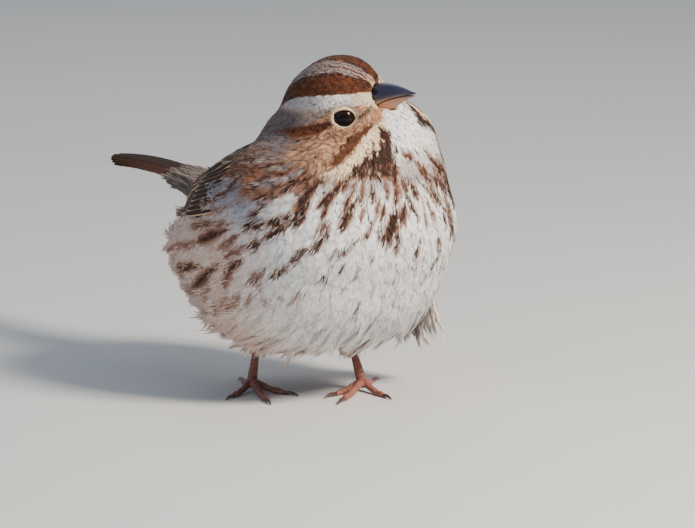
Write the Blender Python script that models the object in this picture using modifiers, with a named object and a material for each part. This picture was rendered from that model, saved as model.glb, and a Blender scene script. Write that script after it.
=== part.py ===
"""Song sparrow, Melospiza melodia: a still, life-size model, standing with its plumage fluffed.

Metres, +Z up. The trunk faces -Y and the bird's own right side is -X. The floor is Z = 0, and the
origin is under the middle of the whole bird. Run with blender --background --python part.py.
"""

from math import cos, pi, radians, sin

import bmesh
import bpy
from mathutils import Matrix, Vector
from mathutils.bvhtree import BVHTree

MM = 0.001
GAP = 0.3 * MM  # clearance between neighbouring pieces

# Driving sizes, in millimetres, of a song sparrow of 22 grams with its feathers raised.
TRUNK_HALF_WIDTH = 33.0
HEAD_CENTRE = Vector((0.0, -11.5, 76.4))
HEAD_YAW = radians(24.0)  # turned to its left
HEAD_PITCH = radians(16.0)
HEAD_ROLL = radians(24.0)  # crown leaning to its right
BILL_LENGTH = 12.0
BILL_HEIGHT = 4.3  # from the mouth to the ridge, at the root
BILL_KEEL = 5.0  # from the mouth down to the keel, at the root
BILL_WIDTH = 7.2
BILL_SEAT = 13.4  # from the head's centre forward to the edge of the feathers
BILL_RISE = -0.4  # of the mouth over the head's centre
BILL_LEAST = 0.25  # thickness of each mandible at its tip
MOUTH_DROP = 1.5  # how far the mouth line has come down at the tip
GAPE_DROP = 1.0  # how far it turns down at the corner
EYE_RADIUS = 3.3
EYE_PLACE = Vector((7.9, 7.6, 0.4))  # right, forward and up of the head's centre
TAIL_LENGTH = 65.0
TAIL_START = 26.5  # Y of the root of the tail
TAIL_HALF_WIDTH = 6.6
TAIL_GRADUATION = 8.5  # how much shorter the outermost feathers are
TAIL_HEIGHTS = (43.9, 19.6, -13.6)  # of the underside: at the root, then its rise and its droop
TAIL_CURVE = 0.016  # how the plates fall away to both sides
TARSUS_LENGTH = 20.5

# The trunk is symmetric, so a mass with a sideways offset is made on both sides.
# Name: (centre, radii, tilt about the X axis in degrees)
TRUNK_MASSES = {
    "barrel": ((0, -1, 42), (TRUNK_HALF_WIDTH - 0.6, 34.5, 25.4), 6),
    "breast": ((4, -14, 46), (28.9, 26.4, 24.4), 0),
    "paunch": ((6, -10.5, 34.6), (25, 25.4, 20.4), 0),
    "belly": ((0, 0.5, 33.5), (29.4, 32, 20.4), 2),
    "keel": ((9, -2, 29.2), (21.4, 26.5, 16.4), 0),
    "vent": ((7, 16, 31.5), (19, 19, 16), 8),
    "shoulder": ((13.5, -9, 51), (17, 20.5, 17), 18),
    "flank": ((13, 10.5, 36.5), (17.6, 24, 16), 8),
    "mantle": ((0, 6, 55.3), (19.5, 22.5, 11), -34),
    "rump": ((0, 26, 46.5), (13.5, 17.5, 9), -30),
    "undertail": ((0, 26, 38), (13, 21, 10), 16),
    "tail_sleeve": ((0, 37, 42.4), (8.4, 17, 5.0), 12),
}
NECK_MASSES = {
    "nape": ((-1.5, -3, 64.5), (14, 13, 13), 0),
    "collar": ((0, -9, 60.5), (20.5, 19, 13), 0),
    "ruff": ((9, -20.5, 66), (15.4, 15, 14.4), 0),
    "gorget": ((2.5, -21.5, 59), (24.4, 17.4, 14.4), 0),
}
# Right, forward and up of the head's centre, in the head's own axes.
HEAD_MASSES = {
    "skull": ((0, 0.1, -0.2), (13.1, 13.8, 12.7)),
    "crown": ((0, 4.0, 4.0), (10.8, 11.6, 10.0)),
    "forehead": ((0, 8.9, 3.0), (8.3, 7.6, 8.2)),
    "cheek": ((5.4, -1.0, -3.4), (7.8, 10.8, 8.2)),
    "throat": ((-1.5, 3.0, -8.6), (10.6, 11, 8.6)),
    "face": ((0, 9.2, -1.0), (8.2, 7.2, 7.6)),
}
VOXEL = 1.1 * MM
SMOOTHING = 56  # rounds
BODY_FACES = 0.036  # share of the fine faces that is kept
# The planes between head, neck and trunk: a point in millimetres and the way up across the plane
HEAD_CUT = ((0, -12, 64.5), (0.05, -0.15, 1))
NECK_CUT = ((0, -12, 55.5), (0, -0.24, 1))

parts = bpy.data.collections.new("song_sparrow")
cutters = bpy.data.collections.new("cutters")


def clear_scene():
    for obj in list(bpy.data.objects):
        bpy.data.objects.remove(obj)
    for collection in (parts, cutters):
        bpy.context.scene.collection.children.link(collection)
    cutters.hide_render = True


def material(name, colour, roughness):
    """A plain finish for a group of parts."""
    made = bpy.data.materials.new(name)
    made.use_nodes = True
    shader = made.node_tree.nodes["Principled BSDF"]
    shader.inputs["Base Color"].default_value = (*colour, 1)
    shader.inputs["Roughness"].default_value = roughness
    shader.inputs["Metallic"].default_value = 0.0
    return made


def placed(name, mesh, finish=None, collection=parts):
    obj = bpy.data.objects.new(name, mesh)
    collection.objects.link(obj)
    if finish:
        obj.data.materials.append(finish)
    if collection is cutters:
        obj.hide_render = True
        obj.display_type = "WIRE"
    return obj


def mesh_of(name, work):
    """A mesh data block from a bmesh, with its normals outwards."""
    bmesh.ops.recalc_face_normals(work, faces=work.faces)
    mesh = bpy.data.meshes.new(name)
    work.to_mesh(mesh)
    work.free()
    return mesh


def evaluated_copy(obj):
    """The mesh of an object with its modifiers applied, in world space."""
    graph = bpy.context.evaluated_depsgraph_get()
    graph.update()
    mesh = bpy.data.meshes.new_from_object(obj.evaluated_get(graph))
    mesh.transform(obj.matrix_world)
    return mesh


def replace_mesh(obj):
    """Applies an object's modifiers for good."""
    mesh = evaluated_copy(obj)
    obj.modifiers.clear()
    obj.data = mesh


# Solids from sections


def loft(rings, name):
    """One closed body through rings of equal length, which run the same way round."""
    work = bmesh.new()
    rows = [[work.verts.new(point) for point in ring] for ring in rings]
    count = len(rings[0])
    for near, far in zip(rows, rows[1:]):
        for i in range(count):
            j = (i + 1) % count
            work.faces.new((near[i], near[j], far[j], far[i]))
    work.faces.new(rows[0][::-1])
    work.faces.new(rows[-1])
    bmesh.ops.triangulate(work, faces=[f for f in work.faces if len(f.verts) > 4])
    return mesh_of(name, work)


def swept_rings(path, radii, sides, flatten=1.0):
    """Rings round a path of points. Each ring lies across the path and is flattened in height."""
    rings = []
    for i, point in enumerate(path):
        ahead = path[min(i + 1, len(path) - 1)] - path[max(i - 1, 0)]
        across = ahead.cross(Vector((0, 0, 1)))
        if across.length < 1e-9:
            across = Vector((1, 0, 0))
        across.normalize()
        above = across.cross(ahead).normalized()
        ring = []
        for k in range(sides):
            turn = 2 * pi * k / sides
            ring.append(point + radii[i] * (across * cos(turn) + above * sin(turn) * flatten))
        rings.append(ring)
    return rings


def smooth_path(points, steps):
    """Points along a Catmull-Rom curve through the given ones."""
    ends = [points[0] * 2 - points[1], *points, points[-1] * 2 - points[-2]]
    made = []
    spans = len(points) - 1
    for n in range(steps):
        where = n / (steps - 1) * spans
        i = min(int(where), spans - 1)
        t = where - i
        a, b, c, d = ends[i : i + 4]
        bend = (2 * a - 5 * b + 4 * c - d) * t * t + (3 * b - a - 3 * c + d) * t * t * t
        made.append(0.5 * (2 * b + (c - a) * t + bend))
    return made


def bulge(t, centre, width):
    """A smooth hump of height 1 at centre."""
    return 1 / (1 + ((t - centre) / width) ** 4)


# Head axes


def head_axes():
    """Columns point to the bird's right, forward and up of the head."""
    level = Vector((sin(HEAD_YAW), -cos(HEAD_YAW), 0))
    forward = level * cos(HEAD_PITCH) + Vector((0, 0, sin(HEAD_PITCH)))
    right = forward.cross(Vector((0, 0, 1))).normalized()
    up = right.cross(forward)
    leaned_right = right * cos(HEAD_ROLL) - up * sin(HEAD_ROLL)
    leaned_up = up * cos(HEAD_ROLL) + right * sin(HEAD_ROLL)
    return Matrix((leaned_right, forward, leaned_up)).transposed()


HEAD_AXES = head_axes()


def in_head(right, forward, up):
    """A point given in the head's own axes, in metres in the world."""
    return (HEAD_CENTRE + HEAD_AXES @ Vector((right, forward, up))) * MM


# Body


def add_ellipsoid(work, matrix, radii):
    scale = Matrix.Diagonal((*radii, 1))
    bmesh.ops.create_uvsphere(work, u_segments=32, v_segments=18, radius=MM, matrix=matrix @ scale)


def whole_body():
    """Trunk, neck and head as one smooth closed body."""
    work = bmesh.new()
    for masses in (TRUNK_MASSES, NECK_MASSES):
        for centre, radii, tilt in masses.values():
            sides = (1, -1) if masses is TRUNK_MASSES and centre[0] else (1,)
            for side in sides:
                middle = Vector((centre[0] * side, centre[1], centre[2])) * MM
                turn = Matrix.Rotation(radians(tilt), 4, "X")
                add_ellipsoid(work, Matrix.Translation(middle) @ turn, radii)
    for centre, radii in HEAD_MASSES.values():
        for side in (1, -1) if centre[0] else (1,):
            middle = in_head(centre[0] * side, centre[1], centre[2])
            add_ellipsoid(work, Matrix.Translation(middle) @ HEAD_AXES.to_4x4(), radii)
    body = placed("whole_body", mesh_of("whole_body", work), collection=cutters)
    remesh = body.modifiers.new("skin", "REMESH")
    remesh.mode = "VOXEL"
    remesh.voxel_size = VOXEL
    smooth = body.modifiers.new("smooth", "SMOOTH")
    smooth.factor = 0.5
    smooth.iterations = SMOOTHING
    fewer = body.modifiers.new("fewer", "DECIMATE")
    fewer.ratio = BODY_FACES
    replace_mesh(body)
    return body


def slice_of(body, name, cuts, finish):
    """The part of the body on the inner side of every cut, a (point, outward normal) plane."""
    work = bmesh.new()
    work.from_mesh(body.data)
    for point, normal in cuts:
        geometry = work.verts[:] + work.edges[:] + work.faces[:]
        bmesh.ops.bisect_plane(
            work, geom=geometry, plane_co=point, plane_no=normal, clear_outer=True, dist=1e-6
        )
        rim = [edge for edge in work.edges if edge.is_boundary]
        filled = bmesh.ops.edgenet_fill(work, edges=rim)["faces"]
        bmesh.ops.triangulate(work, faces=filled)
    return placed(name, mesh_of(name, work), finish)


def cut_away(target, cutter):
    boolean = target.modifiers.new(cutter.name, "BOOLEAN")
    boolean.operation = "DIFFERENCE"
    boolean.object = cutter


def loose_bodies(work):
    """Groups of faces that hang together."""
    left = set(work.faces)
    while left:
        body, edge_of_body = set(), [left.pop()]
        while edge_of_body:
            face = edge_of_body.pop()
            body.add(face)
            near = {other for edge in face.edges for other in edge.link_faces} & left
            left -= near
            edge_of_body.extend(near)
        yield body


def keep_largest_body(obj):
    """Applies the cuts and drops any scrap that they left loose."""
    replace_mesh(obj)
    work = bmesh.new()
    work.from_mesh(obj.data)
    bodies = sorted(loose_bodies(work), key=len, reverse=True)
    for scrap in bodies[1:]:
        bmesh.ops.delete(work, geom=list(scrap), context="FACES")
    work.to_mesh(obj.data)
    work.free()


def grown_copy(mesh, name, by=GAP):
    """A copy of a closed mesh pushed out along its normals, to cut a seat with a gap."""
    work = bmesh.new()
    work.from_mesh(mesh)
    work.normal_update()
    for vert, normal in [(v, v.normal.copy()) for v in work.verts]:
        vert.co += normal * by * vert.calc_shell_factor()
    return placed(name, mesh_of(name, work), collection=cutters)


# Bill

BILL_STEPS = 11
BILL_SIDES = 9


def bill_arch(t, upper):
    """Half a ring of the bill, t from the root at 0 to the tip at 1: the ridge or the keel."""
    along = max(t, 0.0)
    taper = 1 - along ** (1.55 if upper else 1.3)
    width = max(BILL_WIDTH / 2 * taper, BILL_LEAST)
    depth = max((BILL_HEIGHT if upper else BILL_KEEL) * taper, BILL_LEAST)
    reach = BILL_LENGTH * (1.0 if upper else 0.95)
    edge = BILL_RISE - MOUTH_DROP * along**2 + 0.35 * sin(pi * along) - GAPE_DROP * bulge(t, -0.05, 0.22)
    sign = 1 if upper else -1
    ring = []
    for k in range(BILL_SIDES):
        turn = pi * k / (BILL_SIDES - 1)
        height = sign * (GAP / MM / 2 + depth * sin(turn) ** 0.9)
        ring.append(in_head(sign * width * cos(turn), BILL_SEAT + reach * t, edge + height))
    return ring


def bill_place(i):
    return -0.32 + 1.32 * i / (BILL_STEPS - 1)


def mandible(name, upper):
    return loft([bill_arch(bill_place(i), upper) for i in range(BILL_STEPS)], name)


def bill_seat():
    """The whole closed bill as one body, to cut its seat in the head."""
    rings = []
    for i in range(BILL_STEPS):
        t = bill_place(i)
        rings.append(bill_arch(t, True)[:-1] + bill_arch(t, False)[:-1])
    return loft(rings, "bill_seat")


# Legs


def plan(degrees):
    """A level direction, turned from straight ahead towards the bird's left."""
    return Vector((sin(radians(degrees)), -cos(radians(degrees)), 0))


# Side: place of the toes' root and the way up the tarsus
FEET = {
    "right": ((-11.8, 8.4), (0.34, 0.26, 0.90)),
    "left": ((11.8, -8.4), (-0.02, 0.43, 0.90)),
}
# Heading of each toe in degrees, from straight ahead towards the bird's left
TOE_HEADINGS = {
    "right": {"inner": 19, "middle": -21, "outer": -60, "hind": 159},
    "left": {"inner": -76, "middle": -53, "outer": -6, "hind": 127},
}
# Toe: (length without claw, claw length, radius, number of pads)
TOES = {
    "inner": (10.6, 4.6, 0.92, 2),
    "middle": (15.4, 5.6, 0.98, 3),
    "outer": (11.2, 4.4, 0.88, 3),
    "hind": (8.4, 7.2, 1.02, 1),
}
TOE_STEPS = 8
TOE_START = 0.9  # from the middle of the foot
TOE_ROOT_HEIGHT = 2.7
PAD_SINK = 0.12  # how deep a pad is cut off level by the floor
PAD_SWELL = 0.13
FOOT_TOP = 2.3  # height of the lower end of the tarsus
TARSUS_RADIUS = 1.12
THIGH_END = 0.36  # share of the tarsus that is bare
THIGH_RADII = (1.75, 2.8, 3.6, 3.9, 3.6, 2.2)
THIGH_OVERLAP = 5  # how far the thigh goes on above the ankle
CLAW_STEPS = 6
CLAW_ROOT = 0.66  # share of the toe's thickness
CLAW_TIP = 0.13  # radius


def toe_shape(root, heading, length, radius, pads):
    """Path and radii of a toe from its root to the base of the claw."""
    ahead = plan(heading)
    path, radii = [], []
    for i in range(TOE_STEPS):
        t = i / (TOE_STEPS - 1)
        height = radius - PAD_SINK + (TOE_ROOT_HEIGHT - radius) * (1 - t) ** 2.6
        out = TOE_START + (length - TOE_START) * t
        path.append((root + ahead * out + Vector((0, 0, height))) * MM)
        swell = 1 - PAD_SWELL * cos(2 * pi * pads * t)
        radii.append(radius * (1.08 - 0.24 * t) * swell * MM)
    # Each pad that comes near the floor is cut level by the same small depth.
    for i, point in enumerate(path):
        if point.z < radius * MM:
            point.z = radii[i] - PAD_SINK * MM
    return path, radii


def level_foot(mesh, name):
    """Cuts a mesh off at the floor."""
    work = bmesh.new()
    work.from_mesh(mesh)
    geometry = work.verts[:] + work.edges[:] + work.faces[:]
    bmesh.ops.bisect_plane(
        work, geom=geometry, plane_co=(0, 0, 0), plane_no=(0, 0, -1), clear_outer=True, dist=1e-7
    )
    rim = [edge for edge in work.edges if edge.is_boundary]
    if rim:
        bmesh.ops.edgenet_fill(work, edges=rim)
    return mesh_of(name, work)


def build_leg(side, finishes):
    (x, y), rise = FEET[side]
    headings = TOE_HEADINGS[side]
    root = Vector((x, y, 0))
    up = Vector(rise).normalized()
    foot_top = (root + Vector((0, 0, FOOT_TOP))) * MM
    ankle = foot_top + up * TARSUS_LENGTH * MM

    path = smooth_path([foot_top, foot_top.lerp(ankle, 0.5), ankle], 7)
    radii = []
    for i in range(len(path)):
        t = i / (len(path) - 1)
        swell = 0.32 * bulge(t, 0, 0.14) - 0.16 * bulge(t, 0.55, 0.3)
        radii.append(TARSUS_RADIUS * (1 + swell) * MM)
    mesh = level_foot(loft(swept_rings(path, radii, 10), "tarsus"), "tarsus")
    tarsus = placed(f"tarsus_{side}", mesh, finishes["leg"])

    toes = {}
    for toe, (length, claw, radius, pads) in TOES.items():
        path, radii = toe_shape(root, headings[toe], length, radius, pads)
        mesh = level_foot(loft(swept_rings(path, radii, 8, 0.92), toe), toe)
        toes[toe] = placed(f"toe_{toe}_{side}", mesh, finishes["leg"])
        build_claw(f"claw_{toe}_{side}", path, radii, headings[toe], claw, finishes["claw"])
    for toe in ("inner", "outer", "hind"):
        cut_away(toes[toe], grown_copy(toes["middle"].data, f"seat_{toe}_{side}"))
    for toe in toes.values():
        cut_away(toe, grown_copy(tarsus.data, f"seat_{toe.name}"))

    # The feathered lower thigh comes out of the belly round the top of the tarsus.
    low = foot_top.lerp(ankle, THIGH_END)
    high = ankle + up * THIGH_OVERLAP * MM
    path = smooth_path([low, low.lerp(high, 0.45), high], len(THIGH_RADII))
    radii = [radius * MM for radius in THIGH_RADII]
    thigh = placed(f"thigh_{side}", loft(swept_rings(path, radii, 10), "thigh"), finishes["plumage"])
    cut_away(thigh, grown_copy(tarsus.data, f"seat_{thigh.name}"))
    return thigh, tarsus


def build_claw(name, toe_path, toe_radii, heading, length, finish):
    """A curved spike from the end of a toe down to the floor."""
    ahead = plan(heading)
    base = toe_path[-1] + ahead * (GAP + 0.05 * MM)
    high = base.z + 0.35 * MM
    low = 0.22 * MM
    path, radii = [], []
    for i in range(CLAW_STEPS):
        t = i / (CLAW_STEPS - 1)
        drop = high - (high - low) * t**2.2
        path.append(base + ahead * length * MM * t * (1 - 0.06 * t))
        path[-1].z = base.z + (drop - base.z) * min(1, 2.2 * t)
        radii.append(CLAW_ROOT * toe_radii[-1] * (1 - t) ** 0.75 + CLAW_TIP * MM)
    path[-1].z = (CLAW_TIP + 0.03) * MM
    placed(name, loft(swept_rings(path, radii, 6, 1.1), name), finish)


# Wings

# The folded wing's middle line on the bird's left, from the bend of the wing to its tip, and the
# outward direction of its surface there.
WING_LINE = (
    ((27.6, -15, 56.5), (0.88, -0.34, 0.34)),
    ((29.6, -3, 55.0), (0.92, -0.04, 0.38)),
    ((27.8, 9, 53.2), (0.84, 0.24, 0.48)),
    ((23.0, 19, 50.8), (0.68, 0.42, 0.60)),
    ((17.2, 28, 48.2), (0.56, 0.46, 0.69)),
    ((12.0, 36, 46.0), (0.48, 0.42, 0.77)),
)
# Part: (start, end, upper edge, lower edge) along the line from 0 to 1 and across in millimetres
WING_PARTS = {
    "coverts": (0.0, 0.457, 8.0, 5.0),
    "secondaries": (0.462, 0.84, 7.6, 0.95),
    "primaries": (0.462, 1.0, -1.3, 5.6),
}
WING_THICKNESS = 2.2
WING_ARCH = 1.4
WING_STEPS = 8
WING_SIDES = 6


def wing_place(t, side):
    """Point, outward and crosswise directions on the wing's middle line."""
    line = smooth_path([Vector(point) for point, _ in WING_LINE], 41)
    outs = smooth_path([Vector(out) for _, out in WING_LINE], 41)
    i = min(int(t * 40), 39)
    share = t * 40 - i
    point = line[i].lerp(line[i + 1], share)
    out = outs[i].lerp(outs[i + 1], share).normalized()
    along = (line[i + 1] - line[i]).normalized()
    down = along.cross(out).normalized()
    if down.z > 0:
        down = -down
    mirror = Vector((side, 1, 1))
    return point * mirror, out * mirror, down * mirror


def clear_of(body, point, out, margin=0.9 * MM):
    """The point, moved out along a direction until it lies clear of the body's surface."""
    hit = body.ray_cast(point + out * 14 * MM, -out, 20 * MM)[0]
    if hit is None:
        return point
    rise = (hit - point).dot(out) + margin
    return point + out * max(rise, 0)


def wing_part(name, body, start, end, above, below, side, finish):
    """A curved plate with blunt edges, thinner and narrower towards its rear tip."""
    rings = []
    for i in range(WING_STEPS):
        u = i / (WING_STEPS - 1)
        t = start + (end - start) * u
        if end > 0.5:
            narrow = 1 - 0.82 * u**3.2
        else:
            narrow = 1 - 0.5 * (1 - u) ** 3
        middle = (below - above) / 2
        half = (below + above) / 2 * narrow
        thick = WING_THICKNESS * (1 - 0.6 * t)
        point, out, down = wing_place(t, side)
        outer, inner = [], []
        for k in range(WING_SIDES):
            v = -1 + 2 * k / (WING_SIDES - 1)
            arch = WING_ARCH * (1 - v * v) * narrow
            place = (point + down * (middle + half * v) + out * arch) * MM
            place = clear_of(body, place, out)
            outer.append(place)
            inner.append(place - out * thick * (1 - 0.5 * v * v) * MM)
        rings.append(outer + inner[::-1])
    return placed(name, loft(rings, name), finish)


# Tail


TAIL_STEPS = 9
TAIL_COLUMNS = 5
# Plate: (its two sides across, how far it is lifted, how thick it is)
TAIL_PLATES = {
    "tail_centre": ((-4.2, 4.2), 1.15, 0.7),
    "tail_right": ((-TAIL_HALF_WIDTH, -GAP / MM / 2), 0, 0.8),
    "tail_left": ((GAP / MM / 2, TAIL_HALF_WIDTH), 0, 0.8),
}


def tail_height(t):
    """Height of the tail's underside along its length: it rises, then droops at the tip."""
    root, rise, droop = TAIL_HEIGHTS
    return root + rise * t + droop * t * t


def tail_plate(name, finish):
    """A flat bundle of tail feathers. The outer ones are shorter, which rounds the tail's end."""
    (left, right), lift, thick = TAIL_PLATES[name]
    rings = []
    columns = [left + (right - left) * k / (TAIL_COLUMNS - 1) for k in range(TAIL_COLUMNS)]
    for i in range(TAIL_STEPS):
        t = i / (TAIL_STEPS - 1)
        spread = 0.62 + 0.38 * min(1, 1.5 * t)
        top, bottom = [], []
        for x in columns:
            length = TAIL_LENGTH - TAIL_GRADUATION * (x / TAIL_HALF_WIDTH) ** 2
            y = TAIL_START + length * t
            across = x * spread
            z = tail_height(t) + lift - TAIL_CURVE * across * across
            top.append(Vector((across, y, z + thick)) * MM)
            bottom.append(Vector((across, y, z)) * MM)
        rings.append(top + bottom[::-1])
    return placed(name, loft(rings, name), finish)


# Whole bird


def split_body(body, finish):
    """Head, neck and trunk of the body, with a gap between neighbours."""
    (head_point, head_up), (neck_point, neck_up) = (
        (Vector(point) * MM, Vector(way).normalized()) for point, way in (HEAD_CUT, NECK_CUT)
    )
    head_gap, neck_gap = head_up * GAP / 2, neck_up * GAP / 2
    neck_cuts = [(head_point - head_gap, head_up), (neck_point + neck_gap, -neck_up)]
    return (
        slice_of(body, "head", [(head_point + head_gap, -head_up)], finish),
        slice_of(body, "neck", neck_cuts, finish),
        slice_of(body, "trunk", [(neck_point - neck_gap, neck_up)], finish),
    )


def build_eye(name, side, head, finish):
    """A ball, and its socket in the head."""
    middle = in_head(EYE_PLACE.x * side, EYE_PLACE.y, EYE_PLACE.z)
    for radius, into in ((EYE_RADIUS * MM, parts), (EYE_RADIUS * MM + GAP, cutters)):
        work = bmesh.new()
        bmesh.ops.create_uvsphere(
            work, u_segments=14, v_segments=9, radius=radius, matrix=Matrix.Translation(middle)
        )
        if into is parts:
            placed(name, mesh_of(name, work), finish)
        else:
            cut_away(head, placed(f"socket_{name}", mesh_of(name, work), collection=cutters))


def build():
    clear_scene()
    plumage = material("plumage", (0.62, 0.52, 0.44), 0.85)
    flight = material("flight_feathers", (0.24, 0.12, 0.06), 0.7)
    horn = material("bill_horn", (0.10, 0.09, 0.12), 0.35)
    pale_horn = material("pale_horn", (0.55, 0.40, 0.30), 0.4)
    leg = material("leg_scales", (0.36, 0.14, 0.10), 0.5)
    claw = material("claw_horn", (0.10, 0.05, 0.04), 0.35)
    eye = material("eye", (0.01, 0.008, 0.006), 0.05)

    body = whole_body()
    shell = BVHTree.FromObject(body, bpy.context.evaluated_depsgraph_get())
    head, neck, trunk = split_body(body, plumage)

    placed("bill_upper", mandible("bill_upper", True), horn)
    placed("bill_lower", mandible("bill_lower", False), pale_horn)
    cut_away(head, grown_copy(bill_seat(), "seat_bill"))
    build_eye("eye_right", 1, head, eye)
    build_eye("eye_left", -1, head, eye)
    for name in TAIL_PLATES:
        cut_away(trunk, grown_copy(tail_plate(name, flight).data, f"seat_{name}"))
    for side_name, side in (("right", -1), ("left", 1)):
        for part, (start, end, above, below) in WING_PARTS.items():
            wing = wing_part(f"wing_{part}_{side_name}", shell, start, end, above, below, side, flight)
            for target in (trunk, neck):
                cut_away(target, grown_copy(wing.data, f"seat_{wing.name}_{target.name}"))

    for side in FEET:
        thigh, tarsus = build_leg(side, {"leg": leg, "claw": claw, "plumage": plumage})
        for piece in (thigh, tarsus):
            cut_away(trunk, grown_copy(piece.data, f"seat_{piece.name}_trunk"))
    for flesh in (head, neck, trunk):
        keep_largest_body(flesh)
    centre_on_origin()


def centre_on_origin():
    """Moves everything level, so that the middle of the whole bird's box is over the origin."""
    points = [vert.co for obj in parts.objects for vert in evaluated_copy(obj).vertices]
    middle = [(min(p[axis] for p in points) + max(p[axis] for p in points)) / 2 for axis in (0, 1)]
    away = Matrix.Translation((-middle[0], -middle[1], 0))
    for collection in (parts, cutters):
        for mesh in {obj.data for obj in collection.objects}:
            mesh.transform(away)


build()
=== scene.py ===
"""Song sparrow, Melospiza melodia: plumage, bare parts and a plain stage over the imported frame.

Metres, +Z up, the trunk faces -Y and the bird's own right side is -X.
"""

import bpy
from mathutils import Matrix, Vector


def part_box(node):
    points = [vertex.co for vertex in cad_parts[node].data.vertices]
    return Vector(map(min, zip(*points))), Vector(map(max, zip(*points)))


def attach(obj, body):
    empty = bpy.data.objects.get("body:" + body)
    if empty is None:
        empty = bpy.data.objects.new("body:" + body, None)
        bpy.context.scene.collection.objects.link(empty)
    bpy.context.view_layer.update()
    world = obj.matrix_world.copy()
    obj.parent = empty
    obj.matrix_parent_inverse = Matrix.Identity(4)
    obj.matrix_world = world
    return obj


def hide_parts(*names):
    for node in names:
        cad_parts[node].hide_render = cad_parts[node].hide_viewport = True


bl_info = {
    "name": "Song Sparrow Plumage",
    "version": (1, 0, 0),
    "blender": (4, 5, 0),
    "location": "View3D > Sidebar > Sparrow",
    "description": "Feathers, skin, eyes, bill and legs for a life-size song sparrow",
    "category": "Mesh",
}

from math import cos, pi, radians, sin

import bmesh
import bpy
import numpy as np
from mathutils import Matrix, Vector
from mathutils.bvhtree import BVHTree
from mathutils.kdtree import KDTree

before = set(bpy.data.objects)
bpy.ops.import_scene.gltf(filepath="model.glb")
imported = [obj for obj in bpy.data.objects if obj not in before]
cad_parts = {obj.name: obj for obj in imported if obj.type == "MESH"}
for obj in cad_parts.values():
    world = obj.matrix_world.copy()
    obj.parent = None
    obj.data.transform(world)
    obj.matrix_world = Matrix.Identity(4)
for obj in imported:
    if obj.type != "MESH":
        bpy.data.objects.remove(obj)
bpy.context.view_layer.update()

MM = 0.001
SIDES = {"right": -1, "left": 1}
TOES = ("inner", "middle", "outer", "hind")
BODY_NODES = ("head", "neck", "trunk", "thigh_right", "thigh_left")
WING_NODES = tuple(
    f"wing_{part}_{side}" for part in ("coverts", "secondaries", "primaries") for side in SIDES
)
TAIL_NODES = ("tail_centre", "tail_right", "tail_left")


# Small sums on arrays of points


def unit(vectors):
    """The same directions at length 1."""
    return vectors / np.maximum(np.linalg.norm(vectors, axis=-1, keepdims=True), 1e-12)


def fade(values, start, end):
    """A smooth step from 0 at start to 1 at end, either way round."""
    t = np.clip((values - start) / (end - start), 0, 1)
    return t * t * (3 - 2 * t)


def mix(a, b, share):
    """a at share 0, b at share 1."""
    return a + (b - a) * share


def centre_of(node):
    """The middle of a node's box."""
    low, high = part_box(node)
    return (np.array(low) + np.array(high)) / 2


# Head axes

HEAD_TURN = radians(24)  # to its left
HEAD_LIFT = radians(16)
HEAD_LEAN = radians(24)  # crown leaning to its right
EYES = {side: centre_of(f"eye_{side}") for side in SIDES}
EYES_AHEAD, EYES_ABOVE = 7.6, 0.4  # millimetres from the middle of the head to that of the eyes
EYE_RADIUS = 3.3 * MM
LID_WIDE, LID_HIGH = 54, 43  # degrees from the middle of the eye to the rim of its lids
LID_END = 80  # degrees from the middle of the eye to where feathers cover the lids


def head_axes():
    """Rows point to the bird's right, forward and up of its head."""
    level = cos(HEAD_LIFT)
    ahead = np.array((sin(HEAD_TURN) * level, -cos(HEAD_TURN) * level, sin(HEAD_LIFT)))
    right = unit(np.cross(ahead, (0, 0, 1)))
    above = np.cross(right, ahead)
    leaned_right = right * cos(HEAD_LEAN) - above * sin(HEAD_LEAN)
    leaned_up = above * cos(HEAD_LEAN) + right * sin(HEAD_LEAN)
    return np.array((leaned_right, ahead, leaned_up))


HEAD = head_axes()
HEAD_CENTRE = sum(EYES.values()) / 2 - HEAD[1] * EYES_AHEAD * MM - HEAD[2] * EYES_ABOVE * MM


def in_head(right, ahead, above):
    """A point given in millimetres in the head's own axes."""
    return HEAD_CENTRE + np.array((right, ahead, above)) @ HEAD * MM


def to_head(points):
    """Points in the head's own axes, in millimetres."""
    return (points - HEAD_CENTRE) @ HEAD.T / MM


BILL_BASE = in_head(0, 13.4, -0.4)
NECK_MIDDLE = HEAD_CENTRE + np.array((0.003, -0.006, -0.0105))


# Line of the tail, in millimetres

TAIL_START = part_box("tail_right")[0][1] / MM  # Y of the root of its feathers
TAIL_LENGTH = 65.0
TAIL_GRADUATION = 8.5  # how much shorter its outer feathers are
TAIL_ROUND = 0.016  # fall towards its sides, times the square of the distance from its middle
TAIL_PAIRS = 6


def tail_height(t):
    """Height of the tail's underside along its length, for t from 0 to 1."""
    return 43.9 + 19.6 * t - 13.6 * t * t


# Settings


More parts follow.
